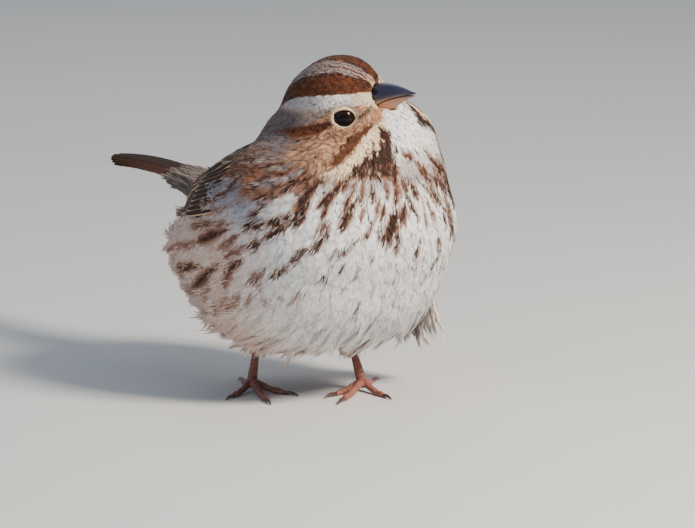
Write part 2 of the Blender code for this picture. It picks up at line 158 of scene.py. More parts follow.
class PlumageSettings(bpy.types.PropertyGroup):
    """Colours and build of the feathers."""

    white: bpy.props.FloatVectorProperty(
        name="White",
        description="Throat, breast and belly",
        default=(0.80, 0.79, 0.78),
        size=3,
        subtype="COLOR",
    )
    buff: bpy.props.FloatVectorProperty(
        name="Buff",
        description="Moustache band, flanks and feather edges",
        default=(0.66, 0.47, 0.29),
        size=3,
        subtype="COLOR",
    )
    rufous: bpy.props.FloatVectorProperty(
        name="Rufous",
        description="Crown stripes and the edges of the streaks",
        default=(0.205, 0.060, 0.023),
        size=3,
        subtype="COLOR",
    )
    dark: bpy.props.FloatVectorProperty(
        name="Dark",
        description="Middles of the streaks",
        default=(0.024, 0.014, 0.011),
        size=3,
        subtype="COLOR",
    )
    grey: bpy.props.FloatVectorProperty(
        name="Grey",
        description="Brow, nape and the stripe on the crown",
        default=(0.33, 0.29, 0.29),
        size=3,
        subtype="COLOR",
    )
    earth: bpy.props.FloatVectorProperty(
        name="Earth",
        description="Back and ear patch",
        default=(0.21, 0.125, 0.080),
        size=3,
        subtype="COLOR",
    )
    density: bpy.props.FloatProperty(
        name="Density",
        description="Feathers to an area, against the usual",
        default=1.0,
        min=0.1,
        max=1.5,
    )


class BarePartSettings(bpy.types.PropertyGroup):
    """Colours of the bill, legs, claws and eyes."""

    bill_top: bpy.props.FloatVectorProperty(
        name="Upper bill",
        description="Slate horn of the upper mandible",
        default=(0.012, 0.013, 0.034),
        size=3,
        subtype="COLOR",
    )
    bill_low: bpy.props.FloatVectorProperty(
        name="Lower bill",
        description="Pale horn of the lower mandible",
        default=(0.46, 0.205, 0.10),
        size=3,
        subtype="COLOR",
    )
    leg: bpy.props.FloatVectorProperty(
        name="Leg",
        description="Scaly skin of the legs and toes",
        default=(0.43, 0.165, 0.125),
        size=3,
        subtype="COLOR",
    )
    claw: bpy.props.FloatVectorProperty(
        name="Claw",
        description="Horn of the claws",
        default=(0.050, 0.024, 0.018),
        size=3,
        subtype="COLOR",
    )
    iris: bpy.props.FloatVectorProperty(
        name="Iris",
        description="Brown of the eye round its pupil",
        default=(0.014, 0.007, 0.004),
        size=3,
        subtype="COLOR",
    )


class StageSettings(bpy.types.PropertyGroup):
    """Floor, lights and camera."""

    floor: bpy.props.FloatVectorProperty(
        name="Floor",
        description="Colour of the floor",
        default=(0.66, 0.66, 0.65),
        size=3,
        subtype="COLOR",
    )
    key_power: bpy.props.FloatProperty(
        name="Key light",
        description="Power of the warm main light",
        default=13.0,
        min=0,
        unit="POWER",
    )
    fill_power: bpy.props.FloatProperty(
        name="Fill light",
        description="Power of the cool side light",
        default=1.5,
        min=0,
        unit="POWER",
    )
    lens: bpy.props.FloatProperty(
        name="Lens",
        description="Focal length of the camera",
        default=295.0,
        min=20,
        unit="CAMERA",
    )


def plumage():
    return bpy.context.scene.sparrow_plumage


def bare_parts():
    return bpy.context.scene.sparrow_bare_parts


def tone(name):
    """One of the feather colours."""
    return np.array(getattr(plumage(), name))


def tones(*names):
    return [tone(name) for name in names]


# Materials


class Wire:
    """A shader socket that takes part in sums."""

    def __init__(self, finish, socket):
        self.finish = finish
        self.socket = socket

    def _sum(self, operation, *values):
        return self.finish.node("ShaderNodeMath", {"operation": operation}, *values)[0]

    def __add__(self, other):
        return self._sum("ADD", self, other)

    __radd__ = __add__

    def __sub__(self, other):
        return self._sum("SUBTRACT", self, other)

    def __rsub__(self, other):
        return self._sum("SUBTRACT", other, self)

    def __mul__(self, other):
        return self._sum("MULTIPLY", self, other)

    __rmul__ = __mul__

    def between(self, low, high):
        """0 at low and 1 at high, clamped."""
        settings = {"interpolation_type": "SMOOTHSTEP"}
        return self.finish.node("ShaderNodeMapRange", settings, self, low, high)[0]


class Finish:
    """A material in the making, with its Principled shader at hand."""

    def __init__(self, name, **constants):
        self.material = bpy.data.materials.new(name)
        self.material.use_nodes = True
        self.tree = self.material.node_tree
        self.shader = self.tree.nodes["Principled BSDF"]
        for socket, value in constants.items():
            self.shader.inputs[socket.replace("_", " ")].default_value = value

    def node(self, kind, settings=(), *values, **named):
        """Adds a node, with its settings first and then its sockets. Returns its outputs."""
        made = self.tree.nodes.new(kind)
        for key, value in dict(settings).items():
            setattr(made, key, value)
        sockets = [s for s in made.inputs if s.enabled]
        pairs = list(zip(sockets, values))
        pairs += [(made.inputs[key.replace("_", " ")], value) for key, value in named.items()]
        for socket, value in pairs:
            if isinstance(value, Wire):
                self.tree.links.new(value.socket, socket)
            elif value is not None:
                socket.default_value = value
        return [Wire(self, s) for s in made.outputs if s.enabled]

    def place(self):
        """Object coordinates, in metres."""
        return self.node("ShaderNodeTexCoord")[3]

    def noise(self, scale, detail):
        """Soft cloudy shade from 0 to 1. scale is in waves to a metre."""
        named = {"Scale": scale, "Detail": detail, "Roughness": 0.55, "Vector": self.place()}
        return self.node("ShaderNodeTexNoise", {}, **named)[0]

    def blend(self, share, a, b, blend_type="MIX"):
        """Colour a at share 0, b at share 1."""
        settings = {"data_type": "RGBA", "blend_type": blend_type}
        return self.node("ShaderNodeMix", settings, share, rgba(a), rgba(b))[0]

    def markings(self):
        """The colours stored on the mesh."""
        return self.node("ShaderNodeAttribute", {"attribute_name": "markings"})[0]

    def bump(self, height, strength, distance):
        named = {"Strength": strength, "Distance": distance, "Height": height}
        self.feed(Normal=self.node("ShaderNodeBump", {}, **named)[0])

    def feed(self, **links):
        """Links wires to sockets of the Principled shader."""
        for name, wire in links.items():
            self.tree.links.new(wire.socket, self.shader.inputs[name.replace("_", " ")])


def rgba(value):
    """A colour as a node takes it: a wire, or four numbers."""
    if isinstance(value, Wire) or len(value) == 4:
        return value
    return (*value, 1.0)


def plume_finish(name, roughness, sheen):
    """Feathers: the markings with a little uneven shade."""
    soft = {"Sheen_Weight": sheen, "Sheen_Roughness": 0.45, "Specular_IOR_Level": 0.15}
    made = Finish(name, Roughness=roughness, **soft)
    colour = made.markings()
    shade = made.noise(900.0, 3.0).between(0.3, 0.7) * 0.22 + 0.87
    grey = made.node("ShaderNodeCombineColor", {}, shade, shade, shade)[0]
    made.feed(Base_Color=made.blend(1.0, colour, grey, "MULTIPLY"))
    return made


# Meshes


def mesh_object(name, points, faces, finish, tints, uv=None, normals=None):
    """A piece from arrays: triangles, and one tint, bake place and normal for each point."""
    mesh = bpy.data.meshes.new(name)
    mesh.vertices.add(len(points))
    mesh.vertices.foreach_set("co", np.ascontiguousarray(points, np.float32).ravel())
    flat = np.ascontiguousarray(faces, np.int32).ravel()
    mesh.loops.add(len(flat))
    mesh.loops.foreach_set("vertex_index", flat)
    mesh.polygons.add(len(faces))
    starts = np.arange(0, len(flat), 3, dtype=np.int32)
    mesh.polygons.foreach_set("loop_start", starts)
    mesh.update(calc_edges=True)
    mesh.shade_smooth()
    paint(mesh, tints)
    if uv is not None:
        layer = mesh.uv_layers.new(name="OFBake")
        layer.data.foreach_set("uv", uv[flat].astype(np.float32).ravel())
    if normals is not None:
        mesh.normals_split_custom_set_from_vertices(normals.tolist())
    made = bpy.data.objects.new(name, mesh)
    bpy.context.scene.collection.objects.link(made)
    mesh.materials.append(finish.material)
    return made


def paint(mesh, tints):
    """Stores the markings, one colour for each point."""
    layer = mesh.color_attributes.new(name="markings", type="FLOAT_COLOR", domain="POINT")
    full = np.ones((len(tints), 4), np.float32)
    full[:, :3] = tints
    layer.data.foreach_set("color", full.ravel())


def select_nothing():
    """Goes to object mode with nothing selected."""
    if bpy.context.mode != "OBJECT":
        bpy.ops.object.mode_set(mode="OBJECT")
    bpy.ops.object.select_all(action="DESELECT")


def only(obj):
    """Selects one object and makes it active."""
    select_nothing()
    obj.select_set(True)
    bpy.context.view_layer.objects.active = obj


def edit_all(obj, work, **settings):
    """Runs an operator of edit mode on the whole of an object."""
    only(obj)
    bpy.ops.object.mode_set(mode="EDIT")
    bpy.ops.mesh.select_all(action="SELECT")
    work(**settings)
    bpy.ops.object.mode_set(mode="OBJECT")


def add_modifier(obj, kind, **settings):
    """Adds a modifier and applies it."""
    only(obj)
    made = obj.modifiers.new(kind.lower(), kind)
    for key, value in settings.items():
        setattr(made, key, value)
    bpy.ops.object.modifier_apply(modifier=made.name)


def joined_copy(name, nodes, swell):
    """One new object from copies of frame nodes, each merged and swollen a little first."""
    copies = []
    for node in nodes:
        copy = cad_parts[node].copy()
        copy.data = copy.data.copy()
        copy.parent = None
        copy.matrix_world = Matrix.Identity(4)
        bpy.context.scene.collection.objects.link(copy)
        edit_all(copy, bpy.ops.mesh.remove_doubles, threshold=1e-6)
        if swell:
            add_modifier(copy, "DISPLACE", strength=swell, mid_level=0.0)
        copies.append(copy)
    only(copies[0])
    for copy in copies:
        copy.select_set(True)
    if len(copies) > 1:
        bpy.ops.object.join()
    made = bpy.context.view_layer.objects.active
    made.name = made.data.name = name
    made.data.materials.clear()
    return made


def smooth_shell(name, nodes, voxel, rounds, swell=0.0):
    """Joined copies of nodes as one even, smooth, closed skin."""
    made = joined_copy(name, nodes, swell)
    add_modifier(made, "REMESH", mode="VOXEL", voxel_size=voxel)
    add_modifier(made, "SMOOTH", factor=0.5, iterations=rounds)
    made.data.shade_smooth()
    return made


def read(rows, key, wide, kind=np.float32):
    """One property of all the rows of a mesh, as an array."""
    found = np.empty(len(rows) * wide, kind)
    rows.foreach_get(key, found)
    return found.reshape(-1, wide)


def points_of(mesh):
    return read(mesh.vertices, "co", 3).astype(float)


def normals_of(mesh):
    return read(mesh.vertex_normals, "vector", 3).astype(float)


def triangles_of(mesh):
    mesh.calc_loop_triangles()
    return read(mesh.loop_triangles, "vertices", 3, np.int32)


def move_points(mesh, points):
    mesh.vertices.foreach_set("co", points.astype(np.float32).ravel())
    mesh.update()


class Surface:
    """A mesh as something to walk over: nearest points with smooth normals."""

    def __init__(self, mesh):
        self.points = points_of(mesh)
        self.normals = normals_of(mesh)
        self.triangles = triangles_of(mesh)
        self.tree = BVHTree.FromPolygons(self.points.tolist(), self.triangles.tolist())

    def weights(self, places, faces):
        """Barycentric weights of places in triangles."""
        a, b, c = (self.points[self.triangles[faces, k]] for k in range(3))
        ab, ac, ap = b - a, c - a, places - a
        d00, d01, d11 = (ab * ab).sum(1), (ab * ac).sum(1), (ac * ac).sum(1)
        d20, d21 = (ap * ab).sum(1), (ap * ac).sum(1)
        scale = np.maximum(d00 * d11 - d01 * d01, 1e-24)
        v = np.clip((d11 * d20 - d01 * d21) / scale, 0, 1)
        w = np.clip((d00 * d21 - d01 * d20) / scale, 0, 1)
        return np.stack((1 - v - w, v, w), 1)

    def nearest(self, places):
        """Nearest points, their smooth normals and their triangles."""
        found, faces = [], []
        for place in places.tolist():
            spot, _, face, _ = self.tree.find_nearest(place)
            found.append(spot)
            faces.append(face)
        spots, faces = np.array(found, float), np.array(faces)
        share = self.weights(spots, faces)
        normals = (self.normals[self.triangles[faces]] * share[..., None]).sum(1)
        return spots, unit(normals), faces


# Lie of the coat


def off_bill(points):
    """Distance from the root of the bill, in millimetres."""
    return np.linalg.norm(points - BILL_BASE, axis=1) / MM


def lie(points):
    """Unit directions in which feathers point: away from the bill, then back along the flanks."""
    away = unit(points - BILL_BASE)
    y = points[:, 1] / MM
    rear = fade(y, -64, -36) * 0.68 + fade(y, -30, 5) * 0.27
    rear = rear * fade(off_bill(points), 12, 34)
    aside, ones = -0.006 * points[:, 0] / MM, np.ones(len(points))
    back = np.stack((aside, ones, -0.26 * ones), 1)
    return unit(away * (1 - rear)[:, None] + unit(back) * rear[:, None])


def along_surface(directions, normals):
    """Directions laid flat on a surface, at length 1."""
    return unit(directions - normals * (directions * normals).sum(-1, keepdims=True))


def walk(surface, start, step, turns=None, count=6):
    """Lines over a surface that follow the lie. step is a length for each line."""
    spots, normals, _ = surface.nearest(start)
    path, ups = [spots], [normals]
    for _ in range(count - 1):
        heading = along_surface(lie(spots), normals)
        if turns is not None:
            aside = np.cross(normals, heading)
            heading = heading * np.cos(turns)[:, None] + aside * np.sin(turns)[:, None]
        spots, normals, _ = surface.nearest(spots + heading * step[:, None])
        path.append(spots)
        ups.append(normals)
    return np.stack(path, 1), np.stack(ups, 1)


# Build of the coat, by place. The first row of a table is where, the second is what holds there.

BACK_EDGE = ((-60, -50, -41, -29, -17, -7, 2, 10, 22), (84, 72, 61, 60, 59, 57, 52, 46, 45))
SKIN_DEPTH = ((0, 4, 10, 18, 28, 42), (0.25, 0.4, 0.9, 1.6, 3.2, 4.4))
PLUME_LENGTH = ((1, 5, 10, 16, 24, 34, 50, 70), (1.2, 1.9, 3.0, 4.2, 6.4, 8.8, 10.4, 11.4))
PLUME_SPACING = ((1, 6, 12, 18, 28, 42, 60), (0.42, 0.48, 0.60, 0.78, 1.12, 1.4, 1.5))


def off_eyes(points):
    """Distance from the middle of the nearer eye, in millimetres."""
    return np.minimum(*(np.linalg.norm(points - eye, axis=1) for eye in EYES.values())) / MM


def dorsal(points):
    """1 on the back and hind neck, 0 on the breast, belly and flanks."""
    y, z = points[:, 1] / MM, points[:, 2] / MM
    return fade(z - np.interp(y, *BACK_EDGE), -2.5, 2.5)


def coat_depth(points):
    """How far the skin lies inside the outline, in millimetres."""
    y, z = points[:, 1] / MM, points[:, 2] / MM
    deep = np.interp(off_bill(points), *SKIN_DEPTH)
    deep = deep * (1 - 0.35 * dorsal(points)) * (1 - 0.72 * fade(y, 0, 16))
    deep = deep * (1 - 0.6 * fade(z, 20, 13))
    return deep * (0.25 + 0.75 * fade(off_eyes(points), 3.4, 8))


def fluffed(points):
    """How loose the feathers are: 0 sleek, 1 like down."""
    y, z = points[:, 1] / MM, points[:, 2] / MM
    low = fade(z, 42, 24)
    rear = fade(y, -30, -5) * fade(z, 56, 46)
    loose = np.maximum(low, rear) * (1 - 0.85 * dorsal(points))
    return np.maximum(loose, 0.12)


def plume_length(points):
    """Usual length of a feather, in millimetres, short enough to leave the eyes open."""
    grown = np.interp(off_bill(points), *PLUME_LENGTH)
    room = np.maximum(0.3 + 0.9 * (off_eyes(points) - 3.8), 0.35)
    low = fade(points[:, 2] / MM, 22, 12)
    return np.minimum(grown, room) * (1 - 0.45 * low)


def plume_spacing(points):
    """Usual distance between the roots of feathers, in millimetres."""
    wide = np.interp(off_bill(points), *PLUME_SPACING)
    wide = wide * (1 - 0.4 * fade(points[:, 2] / MM, 20, 12))
    wide = wide * (0.78 + 0.22 * fade(off_eyes(points), 5, 14))
    return wide / max(plumage().density, 0.05) ** 0.5


# Markings of the head, on a chart round the bill: degrees out from its axis, to the side and up.
# Edges are pairs of rows. Lines are rows of side, up and half width.

MIDLINE = ((-60, -25, -17, -12, -5, 8, 20, 36, 60, 90), (15, 15, 9, 3, 0, 0, 3, 8, 12.5, 15))
CROWN_INNER = ((0, 13, 24, 38, 57, 77, 120), (0.6, 2.6, 4.2, 6.8, 11, 14, 16))
CROWN_OUTER = ((0, 11.2, 22.4, 41.6, 76.2, 110), (5, 9.9, 23.5, 39.5, 55.9, 74))
BROW_LOWER = ((-4, 0.2, 8.6, 21, 33.4, 50.4, 70, 92), (17, 20.5, 29, 50, 70, 81.8, 86, 84))
EYE_LINE = (
    (60, 6, 2.2),
    (68, 7, 4.2),
    (77, 8.5, 7.0),
    (90, 11, 9.0),
    (102, 14, 10.5),
    (114, 19, 8.5),
    (124, 26, 3),
)
MOUSTACHE = (
    (29, -10.8, 1.2),
    (38, -12.0, 1.5),
    (48, -11.6, 1.9),
    (58, -11.0, 2.4),
    (65, -11.6, 2.4),
)
MALAR = (
    (23.5, -13.6, 1.0),
    (20, -17.5, 3.4),
    (18.5, -22.5, 6.2),
    (21, -25, 7.2),
    (30, -24, 6.2),
    (41, -21.2, 4.0),
    (49, -20.2, 2.2),
)
LORE = ((20, 1, 1.8), (27, -1, 2.4), (36, -1, 3.0))
GAPE = ((13, -4, 2.6), (19, -7, 3.2), (24, -10, 2.0))
HEAD_EDGE = (
    (3, 10, 20, 33, 49, 62, 79, 93, 111),
    (-27.5, -25, -28, -25.5, -20.5, -16.8, -11.5, -5, 3),
)
BELOW_CHEEK = ((20, 30, 40, 50, 62, 80, 100), (-10.5, -12.6, -13.6, -13.8, -14.2, -12, -7))


def chart(points):
    """Degrees sideways from the midline of the markings, degrees up, and degrees out."""
    x, y, z = to_head(points).T
    out = np.degrees(np.arccos(np.clip(y / np.sqrt(x * x + y * y + z * z), -1, 1)))
    round_bill = np.arctan2(z, x)
    side, up = out * np.cos(round_bill), out * np.sin(round_bill)
    side = side - np.interp(up, *MIDLINE)
    pressed = (side < 0) & (up < 0)  # the cheek that the turned head presses on the shoulder
    up = np.where(pressed, up * (1 - 0.55 * fade(-side, 16, 34)), up)
    return np.abs(side), up, out


def band(side, up, line):
    """How far inside a tapering line, in its own half-widths: 1 at the middle, 0 at the edge."""
    best = np.full(side.shape, -9.0)
    for (x0, y0, w0), (x1, y1, w1) in zip(line, line[1:]):
        dx, dy = x1 - x0, y1 - y0
        t = np.clip(((side - x0) * dx + (up - y0) * dy) / (dx * dx + dy * dy), 0, 1)
        gap = np.hypot(side - x0 - dx * t, up - y0 - dy * t)
        best = np.maximum(best, 1 - gap / mix(w0, w1, t))
    return best


def lay(colour, over, share):
    """A colour laid over others, with a share for each point."""
    return mix(colour, over, np.clip(share, 0, 1)[..., None])


def head_tints(points, speck, middle):
    """Colours on the head. speck is random for each point, middle is 1 on a feather's shaft."""
    side, up, out = chart(points)
    white, buff, grey, earth = tones("white", "buff", "grey", "earth")
    rufous, dark = tones("rufous", "dark")
    plain = np.ones((len(side), 3))

    # Cheek, flecked with brown.
    warm = np.array((1.12, 0.90, 0.86))
    cheek = mix(earth, buff, 0.36) * warm * plain
    colour = lay(cheek, mix(grey, buff, 0.30) * 0.8, fade(up, 16, 26))
    flecks = 0.72 * fade(speck, 0.45, 0.8) * (0.4 + 0.6 * middle)
    colour = lay(colour, mix(rufous, dark, 0.55), flecks)
    colour = lay(colour, buff * warm, 0.6 * fade(speck, 0.34, 0.05) * fade(up, 8, 0))

    # Hind neck, grey with brown flecks.
    nape = fade(out, 92, 116)
    colour = lay(colour, mix(grey, earth, 0.3) * np.array((0.58, 0.56, 0.6)), nape)
    colour = lay(colour, rufous * 0.8, nape * 0.7 * middle * fade(speck, 0.35, 0.65))

    # Brow: buff before the eye, white above it and grey behind.
    lower = np.interp(up, *BROW_LOWER)
    outer = np.interp(up, *CROWN_OUTER)
    ragged = 2.4 * (speck - 0.5)
    brow = fade(side + ragged, lower + 1.5, lower - 1.5)
    brow = brow * fade(side + ragged, outer - 1.5, outer + 1.5)
    brow_tint = lay(mix(white, buff, 0.75) * plain, white * 1.06, fade(out, 33, 44))
    brow_tint = lay(brow_tint, grey * 1.15, fade(out, 52, 84) * (0.78 + 0.22 * middle))
    below = fade(side, lower - 11, lower - 4) * fade(out, 40, 52)
    brow_tint = lay(brow_tint, mix(grey, buff, 0.4) * 0.9, below)
    colour = lay(colour, brow_tint, brow)

    # Side stripes and pale middle stripe of the crown.
    inner = np.interp(up, *CROWN_INNER)
    top = fade(side + ragged, outer + 1.2, outer - 1.2) * fade(up, 1, 6)
    stripe = lay(rufous * 0.62 * plain, rufous * 1.1, 0.7 * fade(speck, 0.4, 0.0))
    stripe = lay(stripe, dark, 0.85 * middle * fade(speck, 0.15, 0.5))
    fine = np.sin(side * 1.9 + 1.1 * np.sin(out * 0.19) + 2.0 * (speck - 0.5))
    stripe = lay(stripe, dark, 0.7 * fade(fine, 0.0, 0.7))
    stripe = lay(stripe, dark, 0.75 * fade(side, inner + 7, inner + 1) * fade(speck, 0.1, 0.5))
    colour = lay(colour, stripe, top)
    centre = fade(side + ragged, inner + 1.4, inner - 1.4) * fade(up, 4, 9)
    centre_tint = lay(mix(grey, white, 0.12) * 0.85 * plain, buff * 1.1, fade(out, 32, 16))
    lines = np.sin(side * 1.7 + 0.9 * np.sin(out * 0.23) + 2.4 * (speck - 0.5))
    lines = 0.95 * fade(lines, -0.35, 0.35) * fade(out, 12, 26)
    centre_tint = lay(centre_tint, mix(dark, rufous, 0.6), lines)
    colour = lay(colour, centre_tint, centre)

    # Dark line behind the eye, lore and moustache.
    line_tint = lay(mix(rufous, dark, 0.3) * plain, dark * 1.3, 0.8 * fade(out, 90, 64))
    colour = lay(colour, line_tint, fade(band(side, up, EYE_LINE), -0.15, 0.35))
    lore_tint = lay(mix(earth, dark, 0.6) * plain, buff, 0.6 * fade(speck, 0.72, 0.95))
    colour = lay(colour, lore_tint, fade(band(side, up, LORE), -0.1, 0.5))
    moustache = 0.95 * fade(band(side, up, MOUSTACHE) + 0.2 * (speck - 0.5), -0.1, 0.4)
    colour = lay(colour, mix(rufous, dark, 0.6) * plain, moustache)

    # Buff band below the moustache, dark malar wedge and white throat.
    cheek_end = np.interp(side, *BELOW_CHEEK)
    under = fade(up + 1.2 * (speck - 0.5), cheek_end + 0.4, cheek_end - 0.6) * fade(out, 100, 76)
    pressed = to_head(points)[:, 0] < -2
    under = under * np.where(pressed, fade(off_bill(points) + 4 * speck, 26, 18), 1)
    band_tint = np.array((1.3, 1.28, 1.2)) * mix(buff, white, 0.18) * (0.9 + 0.2 * speck[:, None])
    colour = lay(colour, band_tint, under)
    throat = fade(side + 0.25 * (up + 14), 18.5, 15.5) * fade(up, -7, -10)
    colour = lay(colour, white * 1.08, throat)
    ragged = 0.32 * np.sin(side * 1.15 - 0.35 * out) * fade(out, 26, 40)
    wedge = fade(band(side, up, MALAR) + 0.6 * (speck - 0.5) + ragged, -0.1, 0.4)
    wedge_tint = lay(dark * 1.3 * plain, rufous * 0.7, 0.5 * (1 - middle) * fade(speck, 0.45, 0.75))
    colour = lay(colour, wedge_tint, wedge)

    # Pale corner of the bill.
    gape_tint = np.array(bare_parts().bill_low) * (0.9 + 0.35 * speck[:, None])
    return lay(colour, gape_tint, 0.75 * fade(band(side, up, GAPE), 0, 0.5))


# Markings of the body: streaks laid along the lie of the coat

